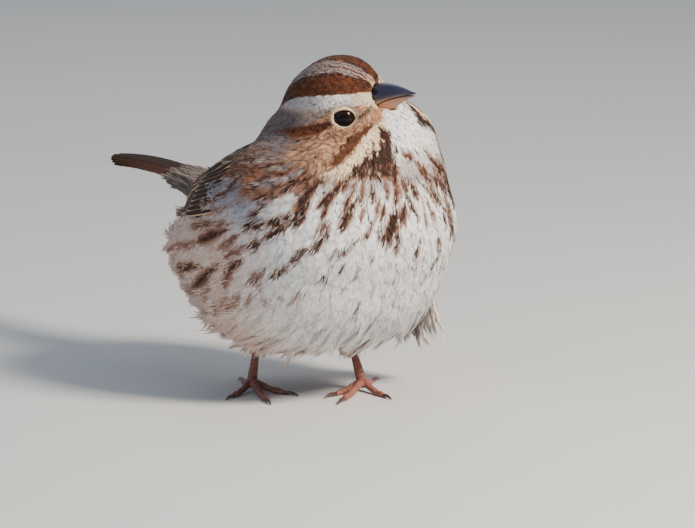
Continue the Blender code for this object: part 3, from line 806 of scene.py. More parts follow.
# Each mark: its start and end in millimetres, its half width and how dark its middle is.
MARKS = (
    (-22.1, -48.9, 62.9, -25.9, -42.7, 61.4, 0.92, 0.7),
    (-25.1, -41.4, 62.5, -28.8, -37.9, 59.8, 1.45, 0.15),
    (-22.8, -51.6, 60.8, -27.8, -46.3, 58.0, 1.05, 0.45),
    (-27.7, -46.2, 58.2, -30.1, -38.8, 57.7, 1.05, 0.3),
    (-24.5, -52.4, 58.2, -29.4, -44.6, 56.3, 0.92, 0.8),
    (-18.7, -50.2, 65.4, -22.2, -48.2, 63.1, 0.66, 0.3),
    (-17.3, -55.4, 63.4, -24.4, -51.3, 59.3, 1.19, 0.5),
    (-17.8, -56.6, 61.5, -22.7, -54.2, 58.8, 0.79, 0.4),
    (-18.4, -56.9, 60.3, -25.0, -55.2, 54.2, 1.05, 0.7),
    (-23.9, -56.7, 53.5, -29.3, -51.1, 50.5, 1.05, 0.95),
    (-29.0, -51.6, 50.5, -32.1, -43.1, 49.1, 1.05, 0.7),
    (-21.1, -57.2, 56.9, -25.4, -56.2, 51.0, 1.19, 1),
    (-26.1, -55.5, 50.7, -29.8, -51.0, 47.1, 1.05, 0.9),
    (-29.8, -51.0, 47.1, -32.0, -44.6, 43.8, 1.05, 0.6),
    (-31.8, -45.7, 44.5, -31.8, -34.8, 40.4, 1.05, 0.35),
    (-32.3, -43.2, 47.6, -32.0, -32.8, 42.2, 0.92, 0.35),
    (-22.9, -59.4, 45.5, -26.1, -55.4, 40.6, 0.92, 1),
    (-26.1, -55.4, 40.6, -28.2, -49.9, 36.4, 0.92, 0.6),
    (-29.2, -50.0, 39.1, -30.1, -43.6, 34.9, 0.92, 0.4),
    (-29.1, -47.7, 36.2, -29.0, -45.2, 32.2, 0.59, 0.1),
    (-28.3, -46.4, 31.2, -27.4, -46.5, 28.5, 0.72, 0.1),
    (-29.5, -43.1, 31.4, -29.1, -39.4, 27.6, 0.66, 0.1),
    (-30.1, -39.1, 30.9, -29.6, -32.9, 26.7, 0.72, 0.1),
    (-26.0, -51.7, 33.3, -25.3, -51.1, 30.3, 0.40, 0.1),
    (-22.5, -56.0, 34.4, -23.7, -52.8, 29.6, 0.46, 0.1),
    (-22.6, -55.8, 34.1, -21.8, -55.0, 30.5, 0.26, 0.1),
    (-31.8, -42.0, 40.3, -31.2, -33.9, 36.0, 1.19, 0.6),
    (-31.3, -35.9, 37.3, -30.6, -32.1, 32.2, 1.05, 0.4),
    (-31.6, -31.2, 37.7, -29.2, -16.6, 29.8, 1.19, 0.6),
    (-31.0, -22.5, 35.9, -28.8, -7.5, 33.0, 0.92, 0.7),
    (-30.3, -14.1, 35.7, -28.6, -8.7, 31.5, 0.92, 0.1),
    (-32.3, -36.5, 47.7, -31.8, -21.9, 42.5, 1.32, 0.5),
    (-32.2, -40.8, 50.1, -28.8, -10.5, 44.0, 0.92, 0.3),
    (-32.0, -31.0, 43.8, -28.5, -4.8, 38.2, 0.79, 0.2),
    (-31.5, -37.2, 53.7, -31.4, -24.1, 50.1, 0.79, 0.1),
    (-30.1, -32.2, 28.5, -28.6, -24.4, 23.5, 0.66, 0.1),
    (-29.8, -20.3, 30.7, -25.9, -9.8, 26.4, 0.79, 0.2),
    (-29.8, -37.3, 29.0, -29.3, -32.8, 25.6, 0.53, 0.1),
    (-30.5, -26.3, 31.4, -29.0, -20.4, 26.4, 0.79, 0.1),
    (-14.2, -58.1, 63.9, -19.6, -55.9, 60.3, 1.05, 0.5),
    (-19.4, -56.1, 60.3, -23.6, -55.9, 55.5, 1.19, 0.75),
    (-10.3, -60.6, 63.6, -14.4, -60.1, 59.8, 1.05, 0.8),
    (-14.1, -60.1, 60.0, -19.2, -59.4, 55.5, 1.05, 0.85),
    (-10.1, -62.9, 57.2, -15.6, -63.2, 50.0, 0.92, 0.95),
    (-17.6, -62.0, 51.8, -21.2, -60.5, 48.9, 0.79, 0.4),
    (-18.5, -62.0, 49.3, -22.3, -59.8, 44.0, 0.99, 1),
    (-6.0, -65.0, 52.2, -10.2, -65.3, 45.9, 0.59, 0.5),
    (-11.0, -65.1, 47.2, -15.3, -63.5, 42.8, 0.59, 0.85),
    (-15.9, -63.5, 44.6, -18.5, -61.9, 42.1, 0.40, 1),
    (-15.9, -63.5, 44.4, -16.4, -62.9, 42.0, 0.33, 1),
    (-14.3, -63.6, 41.4, -15.6, -62.3, 38.5, 0.53, 0.9),
    (-17.5, -61.9, 39.9, -19.7, -58.4, 34.7, 0.40, 1),
    (-18.0, -60.8, 37.7, -18.3, -59.0, 34.1, 0.26, 1),
    (-9.9, -64.4, 39.5, -11.4, -62.6, 35.7, 0.37, 0.3),
    (-7.0, -65.6, 43.3, -7.8, -65.0, 40.4, 0.37, 0.9),
    (-13.2, -61.6, 34.7, -14.0, -60.5, 32.8, 0.29, 0.2),
    (-7.6, -60.7, 29.9, -8.8, -58.4, 25.5, 0.32, 1),
    (-2.0, -65.2, 40.3, -1.3, -64.7, 38.6, 0.26, 0.2),
    (1.5, -64.4, 37.8, 1.1, -62.3, 33.4, 0.26, 0.2),
    (5.9, -61.4, 31.4, 4.7, -60.5, 29.0, 0.26, 0.2),
    (0.1, -64.9, 52.9, -1.8, -65.9, 46.9, 1.58, 1),
    (-5.5, -65.7, 48.6, -2.7, -65.8, 44.4, 1.05, 1),
    (0.4, -65.8, 47.2, -0.1, -65.7, 42.6, 0.92, 0.9),
    (3.5, -64.7, 54.6, 1.5, -65.7, 49.2, 1.19, 0.5),
    (-2.7, -64.5, 55.1, -4.4, -65.4, 50.8, 0.66, 0.8),
    (-13.0, -59.0, 63.7, -7.1, -62.2, 62.5, 1.05, 0.6),
    (-7.3, -62.1, 62.8, -0.1, -63.5, 63.1, 1.19, 0.8),
    (-6.0, -63.3, 59.7, -6.1, -63.9, 56.2, 0.66, 0.7),
    (-8.2, -62.5, 60.6, -9.1, -63.3, 56.4, 0.53, 0.4),
    (-2.2, -63.7, 61.5, -1.7, -64.4, 57.1, 0.53, 0.4),
    (0.5, -64.4, 58.7, 0.9, -64.7, 54.3, 0.66, 0.6),
    (-0.5, -63.6, 62.6, 2.0, -64.5, 56.8, 0.66, 0.4),
    (3.9, -64.0, 61.5, 7.9, -64.2, 56.2, 0.59, 0.85),
    (4.6, -64.4, 56.8, 6.1, -65.0, 52.0, 0.53, 0.9),
    (5.0, -64.7, 54.2, 7.8, -65.3, 49.8, 0.40, 0.7),
    (8.3, -62.4, 65.0, 11.5, -62.8, 61.6, 0.79, 0.5),
    (9.3, -63.2, 62.1, 14.1, -62.4, 58.0, 0.59, 0.8),
    (10.7, -63.5, 58.1, 15.7, -62.4, 53.9, 0.66, 0.6),
    (11.4, -63.9, 53.7, 13.8, -64.1, 48.5, 0.66, 0.5),
    (9.5, -64.2, 53.9, 10.2, -65.1, 48.2, 0.40, 0.2),
    (14.1, -61.0, 64.8, 18.5, -59.8, 60.6, 0.66, 0.8),
    (17.9, -60.2, 60.4, 23.7, -56.3, 55.7, 0.79, 0.8),
    (12.4, -60.7, 67.5, 15.3, -60.7, 64.1, 0.53, 0.7),
    (19.0, -60.5, 54.3, 22.4, -59.4, 49.4, 0.79, 0.9),
    (22.4, -59.4, 49.4, 21.0, -60.4, 42.8, 0.53, 1),
    (17.6, -62.0, 51.5, 18.3, -62.3, 47.1, 0.53, 0.6),
    (5.0, -61.2, 68.0, 7.3, -62.4, 65.4, 0.92, 0.4),
    (-0.9, -60.1, 68.4, -0.6, -62.8, 64.6, 1.19, 0.9),
    (7.9, -65.6, 45.7, 6.5, -64.9, 39.7, 0.53, 1),
    (7.6, -65.1, 41.2, 6.8, -64.1, 37.5, 0.40, 0.9),
    (7.7, -64.2, 37.9, 8.4, -63.2, 35.9, 0.40, 1),
    (14.4, -64.1, 45.6, 15.9, -62.6, 40.0, 0.66, 0.95),
    (16.2, -62.6, 40.5, 14.2, -61.8, 36.1, 0.66, 0.95),
    (13.4, -62.0, 36.0, 11.1, -61.3, 32.7, 0.46, 0.9),
    (-12.9, -60.7, 60.3, -16.6, -59.7, 57.9, 0.53, 0.3),
    (-9.8, -61.6, 61.4, -12.0, -62.0, 57.8, 0.53, 0.35),
    (-4.4, -64.2, 56.3, -5.5, -64.9, 52.9, 0.53, 0.4),
    (-8.2, -63.8, 55.3, -10.3, -64.4, 52.0, 0.46, 0.3),
    (2.6, -64.0, 61.3, 4.0, -64.3, 58.1, 0.53, 0.5),
    (13.9, -62.5, 56.9, 17.4, -61.9, 52.6, 0.53, 0.5),
    (-14.0, -25.5, 69.4, -14.6, -16.3, 63.8, 0.53, 1),
    (-13.9, -15.6, 63.9, -27.3, -23.8, 60.4, 0.53, 1),
    (-18.4, -31.9, 67.5, -23.1, -30.9, 64.9, 0.53, 0.9),
    (-22.8, -31.0, 65.1, -29.0, -24.3, 58.5, 0.53, 1),
    (-20.3, -35.5, 66.5, -24.2, -34.8, 64.2, 0.59, 1),
    (-24.2, -34.8, 64.2, -28.2, -32.4, 60.8, 0.59, 1),
    (-24.5, -37.9, 63.6, -28.0, -35.8, 61.0, 0.66, 0.9),
    (-27.8, -35.9, 61.3, -30.4, -32.8, 56.7, 0.66, 0.9),
    (-22.3, -39.2, 65.1, -25.2, -37.1, 63.0, 0.53, 0.5),
)


MIRRORED = -19  # marks that reach past this X, in millimetres, are repeated on the left side
LONGER, WIDER = (1.15, 0.5), (1.5, 0.2)  # growth of a drawn mark: a factor, and millimetres more
LINE_STEP = 0.9  # millimetres between the points of a line of marks


class Streaks:
    """Teardrop marks on the body, each a place, a heading, half sizes and a depth of colour."""

    def __init__(self, surface):
        self.rows = []
        self.rng = np.random.default_rng(11)
        self.drawn(surface)
        self.drawn_places = np.array(self.rows)[:, 0:3]
        self.necklace(surface)
        self.back(surface)
        rows = np.array(self.rows)
        self.places, self.headings = rows[:, 0:3], rows[:, 3:6]
        self.long, self.wide, self.deep = rows[:, 6] * MM, rows[:, 7] * MM, rows[:, 8]

    def add(self, place, heading, long, wide, deep):
        """Adds a mark, with its half sizes in millimetres."""
        self.rows.append((*place, *heading, long, wide, deep))

    def drawn(self, surface):
        """The marks of the table, with those of the right side mirrored on the left one."""
        for x0, y0, z0, x1, y1, z1, wide, deep in MARKS:
            for flip in (1, -1) if min(x0, x1) < MIRRORED else (1,):
                start = np.array((x0 * flip, y0, z0)) * MM
                end = np.array((x1 * flip, y1, z1)) * MM
                if flip < 0:
                    start = start + self.rng.normal(0, 0.7, (2, 3))[0] * MM
                    end = start + np.array((x1 * flip - x0 * flip, y1 - y0, z1 - z0)) * MM
                place, normal, _ = surface.nearest(((start + end) / 2)[None])
                heading = along_surface(end - start, normal[0])
                long = np.linalg.norm(end - start) / MM / 2
                sizes = long * LONGER[0] + LONGER[1], wide * WIDER[0] + WIDER[1]
                self.add(place[0], heading, *sizes, deep)

    def lines(self, surface, turns, rise, count):
        """Lines down the coat from a ring round the neck, by turns from the front to its right."""
        start = []
        for turn in turns:
            way = Vector((-sin(turn), -cos(turn), rise)).normalized()
            start.append(surface.tree.ray_cast(Vector(NECK_MIDDLE), way)[0])
        step = np.full(len(start), LINE_STEP * MM)
        return enumerate(walk(surface, np.array(start), step, count=count)[0])

    def necklace(self, surface):
        """Rows of marks down from the throat, close together."""
        turns = np.radians(np.arange(-130, 136, 10.0))
        turns = turns + self.rng.normal(0, 0.03, len(turns))
        for line, path in self.lines(surface, turns, 0.05, 84):
            at = 1.0 + 2.6 * (line % 2) + self.rng.uniform(0, 1.2)
            while at < 82:
                i = int(at)
                place, (x, y, z) = path[i], path[i] / MM
                heading = unit(path[i + 1] - path[i])
                gap = np.linalg.norm(self.drawn_places - place, axis=1).min() / MM
                high = float(fade(z, 50, 56)) if x < 20 else float(fade(z, 38, 44))
                behind = float(fade(y, -48, -36)) * float(fade(z, 22, 30)) * (x > 0)
                deep = max(high, behind)
                if deep > 0.3 and gap > (2.7 if high else 5.0):
                    wide = self.rng.uniform(1.1, 1.6) * mix(1.0, 1.35, behind)
                    shade = self.rng.uniform(0.5, 0.8)
                    self.add(place, heading, self.rng.uniform(3.0, 4.0), wide, shade)
                at += mix(6.0, 9.0, behind) * self.rng.uniform(0.85, 1.15) / LINE_STEP

    def back(self, surface):
        """Rows of marks down the hind neck and back."""
        for line, path in self.lines(surface, np.radians(np.arange(130, 231, 9.0)), 0.35, 80):
            at = 6 + 2.5 * (line % 2)
            while at < 50:
                i = int(at)
                if dorsal(path[i][None])[0] > 0.3 and path[i][1] < -0.006:
                    self.add(path[i], unit(path[i + 1] - path[i]), 2.8, 0.95, 0.85)
                at += self.rng.uniform(5.6, 7.0) / LINE_STEP

    def near(self, places, count=9):
        """The closest marks to each place."""
        found = np.empty((len(places), count), int)
        for i in range(0, len(places), 2000):
            gaps = np.linalg.norm(places[i : i + 2000, None] - self.places[None], axis=2)
            found[i : i + 2000] = np.argpartition(gaps, count, axis=1)[:, :count]
        return found

    def masks(self, points, near):
        """Shares of rufous edge and dark middle. points is (n, m, 3) and near is (n, count)."""
        edge = np.zeros(points.shape[:2])
        core = np.zeros(points.shape[:2])
        for k in range(near.shape[1]):
            at = near[:, k]
            gap = points - self.places[at][:, None]
            heading = self.headings[at][:, None]
            ahead = (gap * heading).sum(2)
            t = ahead / self.long[at][:, None]
            aside = np.linalg.norm(gap - heading * ahead[..., None], axis=2)
            grown = np.sqrt(np.clip(1.05 - t * t, 0.0, 1)) * (0.70 + 0.36 * np.clip(t, -1, 1))
            share = aside / np.maximum(self.wide[at][:, None] * grown, 1e-6)
            deep = self.deep[at][:, None]
            edge = np.maximum(edge, fade(share, 1.75, 0.65) * (0.85 + 0.15 * deep))
            filled = fade(share / (0.35 + 0.65 * deep), 1.05, 0.5) * fade(deep, 0.1, 0.5)
            core = np.maximum(core, filled)
        return edge, core


def body_tints(points, speck, middle):
    """Ground colours of the trunk and neck, without their streaks."""
    flat = points.reshape(-1, 3)
    x, y, z = (flat / MM).T
    back, reach = dorsal(flat), off_bill(flat)
    white, buff, grey, earth = tones("white", "buff", "grey", "earth")
    rufous, dark = tones("rufous", "dark")
    speck = np.broadcast_to(speck, points.shape[:2]).ravel()
    middle = np.broadcast_to(middle, points.shape[:2]).ravel()
    plain = np.ones_like(flat)

    # White breast and belly, buff at the flanks, the vent and a collar.
    cloud = 0.5 + 0.5 * np.sin(x * 0.55 + z * 0.31) * np.sin(y * 0.47 - z * 0.23)
    flank = fade(y, -56, -28) * fade(z, 60, 48)
    low_rear = fade(y, -48, -22) * fade(z, 44, 26) * 0.7
    warm = np.maximum(flank, low_rear) * (0.7 + 0.3 * cloud)
    colour = lay(white * plain, buff * np.array((0.95, 0.82, 0.98)), 0.85 * warm * (1 - back))
    colour = lay(colour, buff, fade(reach, 38, 22) * (0.10 + 0.15 * cloud))

    # Shoulder, barred with rufous, and grey sides of the neck.
    shoulder = fade(z, 46, 53) * fade(y, -52, -44) * (1 - back)
    colour = lay(colour, mix(grey, white, 0.35) * np.array((0.8, 0.84, 1.0)), 0.8 * shoulder)
    bar = fade(np.sin(y * 0.75 + z * 0.9 + x), 0.3, 0.9) * fade(z, 50, 55)
    colour = lay(colour, rufous * 1.1, 0.6 * shoulder * bar)
    neck = lay(mix(grey, earth, 0.3) * 0.55 * plain, grey * 0.9, fade(speck, 0.6, 0.85))
    side = fade(z, 50, 60) * fade(y, -58, -46) * fade(reach, 16, 26)
    colour = lay(colour, neck, 0.85 * side)

    # Back: dark stripes between pale ones in front, plainer behind.
    round_back = np.degrees(np.arctan2(x, z - 38)) + 3 * (speck - 0.5)
    stripe = np.sin(np.radians(round_back * 360 / 12.5) + 0.6)
    mantle = lay(mix(grey, buff, 0.3) * 0.7 * plain, rufous, fade(speck, 0.35, 0.55))
    mantle = lay(mantle, mix(white, buff, 0.45) * 0.8, fade(stripe, -0.55, -0.85))
    mantle = lay(mantle, mix(dark, rufous, 0.5), 0.6 * middle)
    mantle = lay(mantle, dark * 1.2, 0.9 * fade(stripe, 0.25, 0.65))
    rear = lay(mix(earth, grey, 0.5) * plain, mix(earth, rufous, 0.4), 0.6 * middle)
    colour = lay(colour, lay(mantle, rear, fade(y, -16, -2)), back)
    hind_neck = fade(reach, 39, 32) * fade(reach, 16, 26) * fade(z, 56, 62)
    return lay(colour, neck, 0.85 * hind_neck).reshape(points.shape)


def of_head(points):
    """1 where the head's own colours apply and 0 beyond them."""
    side, up, _ = chart(points)
    edge = np.interp(side, *HEAD_EDGE)
    ragged = 1.5 * np.sin(side * 1.9) + 0.8 * np.sin(side * 4.3)
    return fade(up + ragged, edge - 2.2, edge + 1.6) * fade(off_bill(points), 31, 28)


def coat_tints(points, near, streaks, speck, middle):
    """Colours for points, (n, m, 3), of feathers or skin. middle is 1 along a feather's shaft."""
    edge, core = streaks.masks(points, near)
    flat = points.reshape(-1, 3)
    back = dorsal(flat)
    colour = body_tints(points, speck, middle)
    colour = lay(colour, mix(tone("rufous") * 1.2, tone("earth"), 0.25), edge)
    colour = lay(colour, tone("dark"), 0.94 * core)
    share = np.maximum(of_head(flat), fade(off_bill(flat), 36, 26) * back).reshape(edge.shape)
    if share.max() > 0:
        speck, middle = (np.broadcast_to(a, edge.shape).ravel() for a in (speck, middle))
        head = head_tints(flat, speck, middle).reshape(points.shape)
        rim = np.array((1.15, 1.12, 1.05)) * mix(tone("buff"), tone("white"), 0.35)
        ring = 0.75 * fade(off_eyes(flat), 4.55, 4.05).reshape(edge.shape)
        colour = lay(lay(colour, head, share), rim, ring)
    return colour


# Feathers of the coat

PATCH = 0.003  # width of a feather on the bake map
TAIL_ROOT = 0.0185  # Y where body feathers give way to the tail's coverts
WING_COVER = -0.0315  # Y from which the wing isn't covered by body feathers
PIECE_TRIANGLES = 190000  # the most in one piece of the coat
PLUCKED_EYE = 3.95  # millimetres from the middle of an eye to the first feathers
PLUCKED_WING = 0.75  # millimetres from a wing to the first feathers
WISPS = 0.16  # share of long, narrow feathers where the coat is loose
SWELL = 0.22 * MM  # what smoothing takes off the body's shape, added first

# A barb is a ribbon in three steps that ends in a point. The shaft is two flat steps and a point.
STATIONS = np.array((0.0, 0.42, 0.78, 1.0))
THICKNESS = np.array((0.8, 1.0, 0.78, 0.0))
RIBBON = np.array(((0, 1, 3), (0, 3, 2), (2, 3, 5), (2, 5, 4), (4, 5, 6)))
RIBBON_POINTS = 7
SHAFT = np.array(((0, 1, 3), (0, 3, 2), (2, 3, 4)))
SHAFT_ALONG = np.array((0.0, 0.0, 0.5, 0.5, 0.96))
SHAFT_ACROSS = np.array((0.05, -0.05, 0.04, -0.04, 0.0))
SHAFT_POINTS = 5


class Feathers:
    """Loose vanes of barbs on a line each, as arrays: one row for each feather."""

    def __init__(self, paths, ups, half, barbs, loose, rng):
        self.paths, self.ups, self.half, self.barbs = paths, ups, half, barbs
        self.count, self.loose, self.rng = len(paths), loose, rng
        self.length = np.linalg.norm(np.diff(paths, axis=1), axis=2).sum(1)

    def outline(self):
        """Along, across and height of every point, in shares of length and in metres."""
        n, barbs, rng = self.count, self.barbs, self.rng
        shape = (n, 2, barbs)
        loose = self.loose[:, None, None]
        turn = np.radians(np.linspace(112, 3, barbs))[None, None] + rng.normal(0, 0.05, shape)
        start = np.linspace(-0.02, 0.80, barbs)[None, None] + rng.normal(0, 0.02, shape)
        end = 0.66 + 0.34 * np.cos(turn) + rng.normal(0, 1, shape) * (0.04 + 0.06 * loose)
        end = end + np.abs(rng.normal(0, 0.12, shape)) * loose
        reach = np.sin(turn) * (1 + rng.normal(0, 1, shape) * (0.06 + 0.20 * loose))
        half = self.half[:, None, None]
        reach = np.maximum(reach, 0.05) * half
        length = self.length[:, None, None]
        bow_v = start + (end - start) * 0.38
        bow_x = reach * (0.80 + rng.normal(0, 0.07, shape))
        t = STATIONS[:, None, None, None]
        v = (1 - t) ** 2 * start + 2 * t * (1 - t) * bow_v + t * t * end
        x = 2 * t * (1 - t) * bow_x + t * t * reach
        dv = (2 * (1 - t) * (bow_v - start) + 2 * t * (end - bow_v)) * length
        dx = 2 * (1 - t) * bow_x + 2 * t * (reach - bow_x)
        size = np.maximum(np.hypot(dv, dx), 1e-9)
        wide = 0.60 * length / barbs * (0.50 - 0.16 * loose)
        thick = wide * THICKNESS[:, None, None, None]
        lift = rng.normal(0, 1, shape) * (0.02 + 0.20 * loose) * MM * t**2
        tilt = rng.normal(0, 0.20, shape)
        points = []
        for k in range(4):
            for edge in (1, -1) if k < 3 else (0,):
                pv = v[k] - edge * thick[k] * dx[k] / size[k] / length
                px = x[k] + edge * thick[k] * dv[k] / size[k]
                height = lift[k] + edge * thick[k] * tilt
                points.append((pv, px, height))
        v, x, h = (np.stack([p[i] for p in points], 3) for i in range(3))
        x[:, 1] *= -1
        shaft = (SHAFT_ALONG, SHAFT_ACROSS * MM, np.full(SHAFT_POINTS, 0.03 * MM))
        shaft = [np.broadcast_to(a, (n, SHAFT_POINTS)) for a in shaft]
        flat = [a.reshape(n, -1) for a in (v, x, h)]
        return [np.concatenate(pair, 1) for pair in zip(flat, shaft)]

    def faces(self):
        """Triangles of one feather, with both sides wound the same way up."""
        rows = []
        for side in range(2):
            for barb in range(self.barbs):
                first = (side * self.barbs + barb) * RIBBON_POINTS
                ribbon = RIBBON if side else RIBBON[:, ::-1]
                rows.append(ribbon + first)
        rows.append(SHAFT + 2 * self.barbs * RIBBON_POINTS)
        return np.concatenate(rows)

    def placed(self, v, x, h, droop=None):
        """Points in the world, and the coat's own normals there."""
        last = self.paths.shape[1] - 1
        at = np.clip(v * last, 0, None)
        i = np.minimum(at.astype(int), last - 1)
        share = (at - i)[..., None]
        rows = np.arange(self.count)[:, None]
        here, there = self.paths[rows, i], self.paths[rows, i + 1]
        ups = unit(mix(self.ups[rows, i], self.ups[rows, i + 1], np.clip(share, 0, 1)))
        across = unit(np.cross(unit(there - here), ups))
        sag = -x * x / (26 * MM)
        points = here + (there - here) * share + across * x[..., None]
        points = points + ups * (h + sag)[..., None]
        if droop is not None:
            points[..., 2] -= droop[:, None] * np.clip(v, 0, 1.2) ** 2.5
        return points, ups


def feather_piece(name, tract, finish, bake, streaks=None, near=None, droop=None, base=None):
    """One piece of the coat from a tract of feathers, in base colours or in those of its place."""
    rng = tract.rng
    v, x, h = tract.outline()
    points, ups = tract.placed(v, x, h, droop)
    n, m = v.shape

    # Each barb differs a little from its neighbours in colour and in how it catches light.
    noise = rng.normal(0, 1, (n, 2 * tract.barbs))
    noise = 0.75 * (noise + np.roll(noise, 1, 1))
    noise = np.repeat(noise, RIBBON_POINTS, axis=1)
    noise = np.concatenate((noise, np.zeros((n, SHAFT_POINTS))), 1)
    ahead = unit(tract.paths[:, -1] - tract.paths[:, 0])
    aside = np.cross(ahead, ups[:, 0])
    stray = rng.normal(0, 0.02, (n, 1, 3)) + ahead[:, None] * (0.11 * noise)[..., None]
    speck = np.clip(rng.uniform(0, 1, (n, 1)) + 0.12 * noise, 0, 1)
    off_shaft = np.abs(x) / tract.half[:, None]
    middle = fade(off_shaft + 0.10 * noise, 0.45, 0.12)
    if base is None:
        places = points + stray * tract.length[:, None, None]
        tints = coat_tints(places, near, streaks, speck, middle)
    else:
        plain = np.repeat(base[:, None], m, axis=1)
        tints = lay(plain, plain * 0.4, 0.8 * middle)
    # shade holds a random tone for each feather and each barb, plus painted shade that darkens each
    # feather towards its root, where the feathers above it overlap.
    shade = 1 + rng.normal(0, 0.035, (n, 1)) + 0.10 * noise - 0.07 * fade(v, 0.75, 0.3)
    tints = np.clip(tints * shade[..., None], 0.004, 0.92)

    faces = tract.faces()[None] + (np.arange(n) * m)[:, None, None]
    spin = rng.uniform(0, 2 * pi, (n, 1))
    u0, v0 = x / np.maximum(tract.half[:, None] * 2, 1e-6), v - 0.5
    turned = (u0 * np.cos(spin) - v0 * np.sin(spin), u0 * np.sin(spin) + v0 * np.cos(spin))
    uv = bake[:, None] + np.stack(turned, 2) * PATCH * 0.7
    tilt = np.where(x > 0, 1, -1) * fade(off_shaft, 0.1, 0.9)
    normals = ups + rng.normal(0, 0.022, (n, 1, 3)) + 0.06 * noise[..., None] * ahead[:, None]
    normals = normals + (0.07 * tilt + 0.10 * np.roll(noise, 7, 1))[..., None] * aside[:, None]
    arrays = (points, faces, tints, unit(normals))
    points, faces, tints, normals = (a.reshape(-1, 3) for a in arrays)
    return mesh_object(name, points, faces, finish, tints, uv.reshape(-1, 2), normals)


# Tracts of the coat: the name of each and the barbs on each side of its feathers.
TRACTS = (
    ("face_feathers", 7),
    ("crown_and_cheek_feathers", 10),
    ("neck_feathers", 13),
    ("breast_feathers", 21),
    ("belly_feathers", 21),
    ("right_flank_feathers", 24),
    ("left_flank_feathers", 24),
    ("vent_feathers", 18),
    ("mantle_feathers", 20),
    ("rump_feathers", 16),
    ("thigh_feathers", 12),
)
FACE, CROWN, NECK, BREAST, BELLY, RIGHT, LEFT, VENT, MANTLE, RUMP, THIGH = range(len(TRACTS))


def region_of(points):
    """The tract each place belongs to, as a number into TRACTS. A later line has the last word."""
    x, y, z = (points / MM).T
    reach = off_bill(points)
    back = dorsal(points) > 0.5
    region = np.full(len(points), BREAST)
    region[(y > -62) & (x < -13) & (z > 20)] = RIGHT
    region[(y > -62) & (x > 13) & (z > 20)] = LEFT
    region[(z < 36) & (np.abs(x) < 24) & (y < -20)] = BELLY
    region[(z < 24)] = BELLY
    region[(y > -14) & ~back] = VENT
    region[back] = MANTLE
    region[back & (y > -16)] = RUMP
    region[reach < 30] = NECK
    region[reach < 22] = CROWN
    region[reach < 15] = FACE
    for side in SIDES:
        low, high = (np.array(c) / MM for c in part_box(f"thigh_{side}"))
        thigh = (x > low[0]) & (x < high[0]) & (y > low[1]) & (y < high[1]) & (z < 17.5)
        region[thigh] = THIGH
    return region


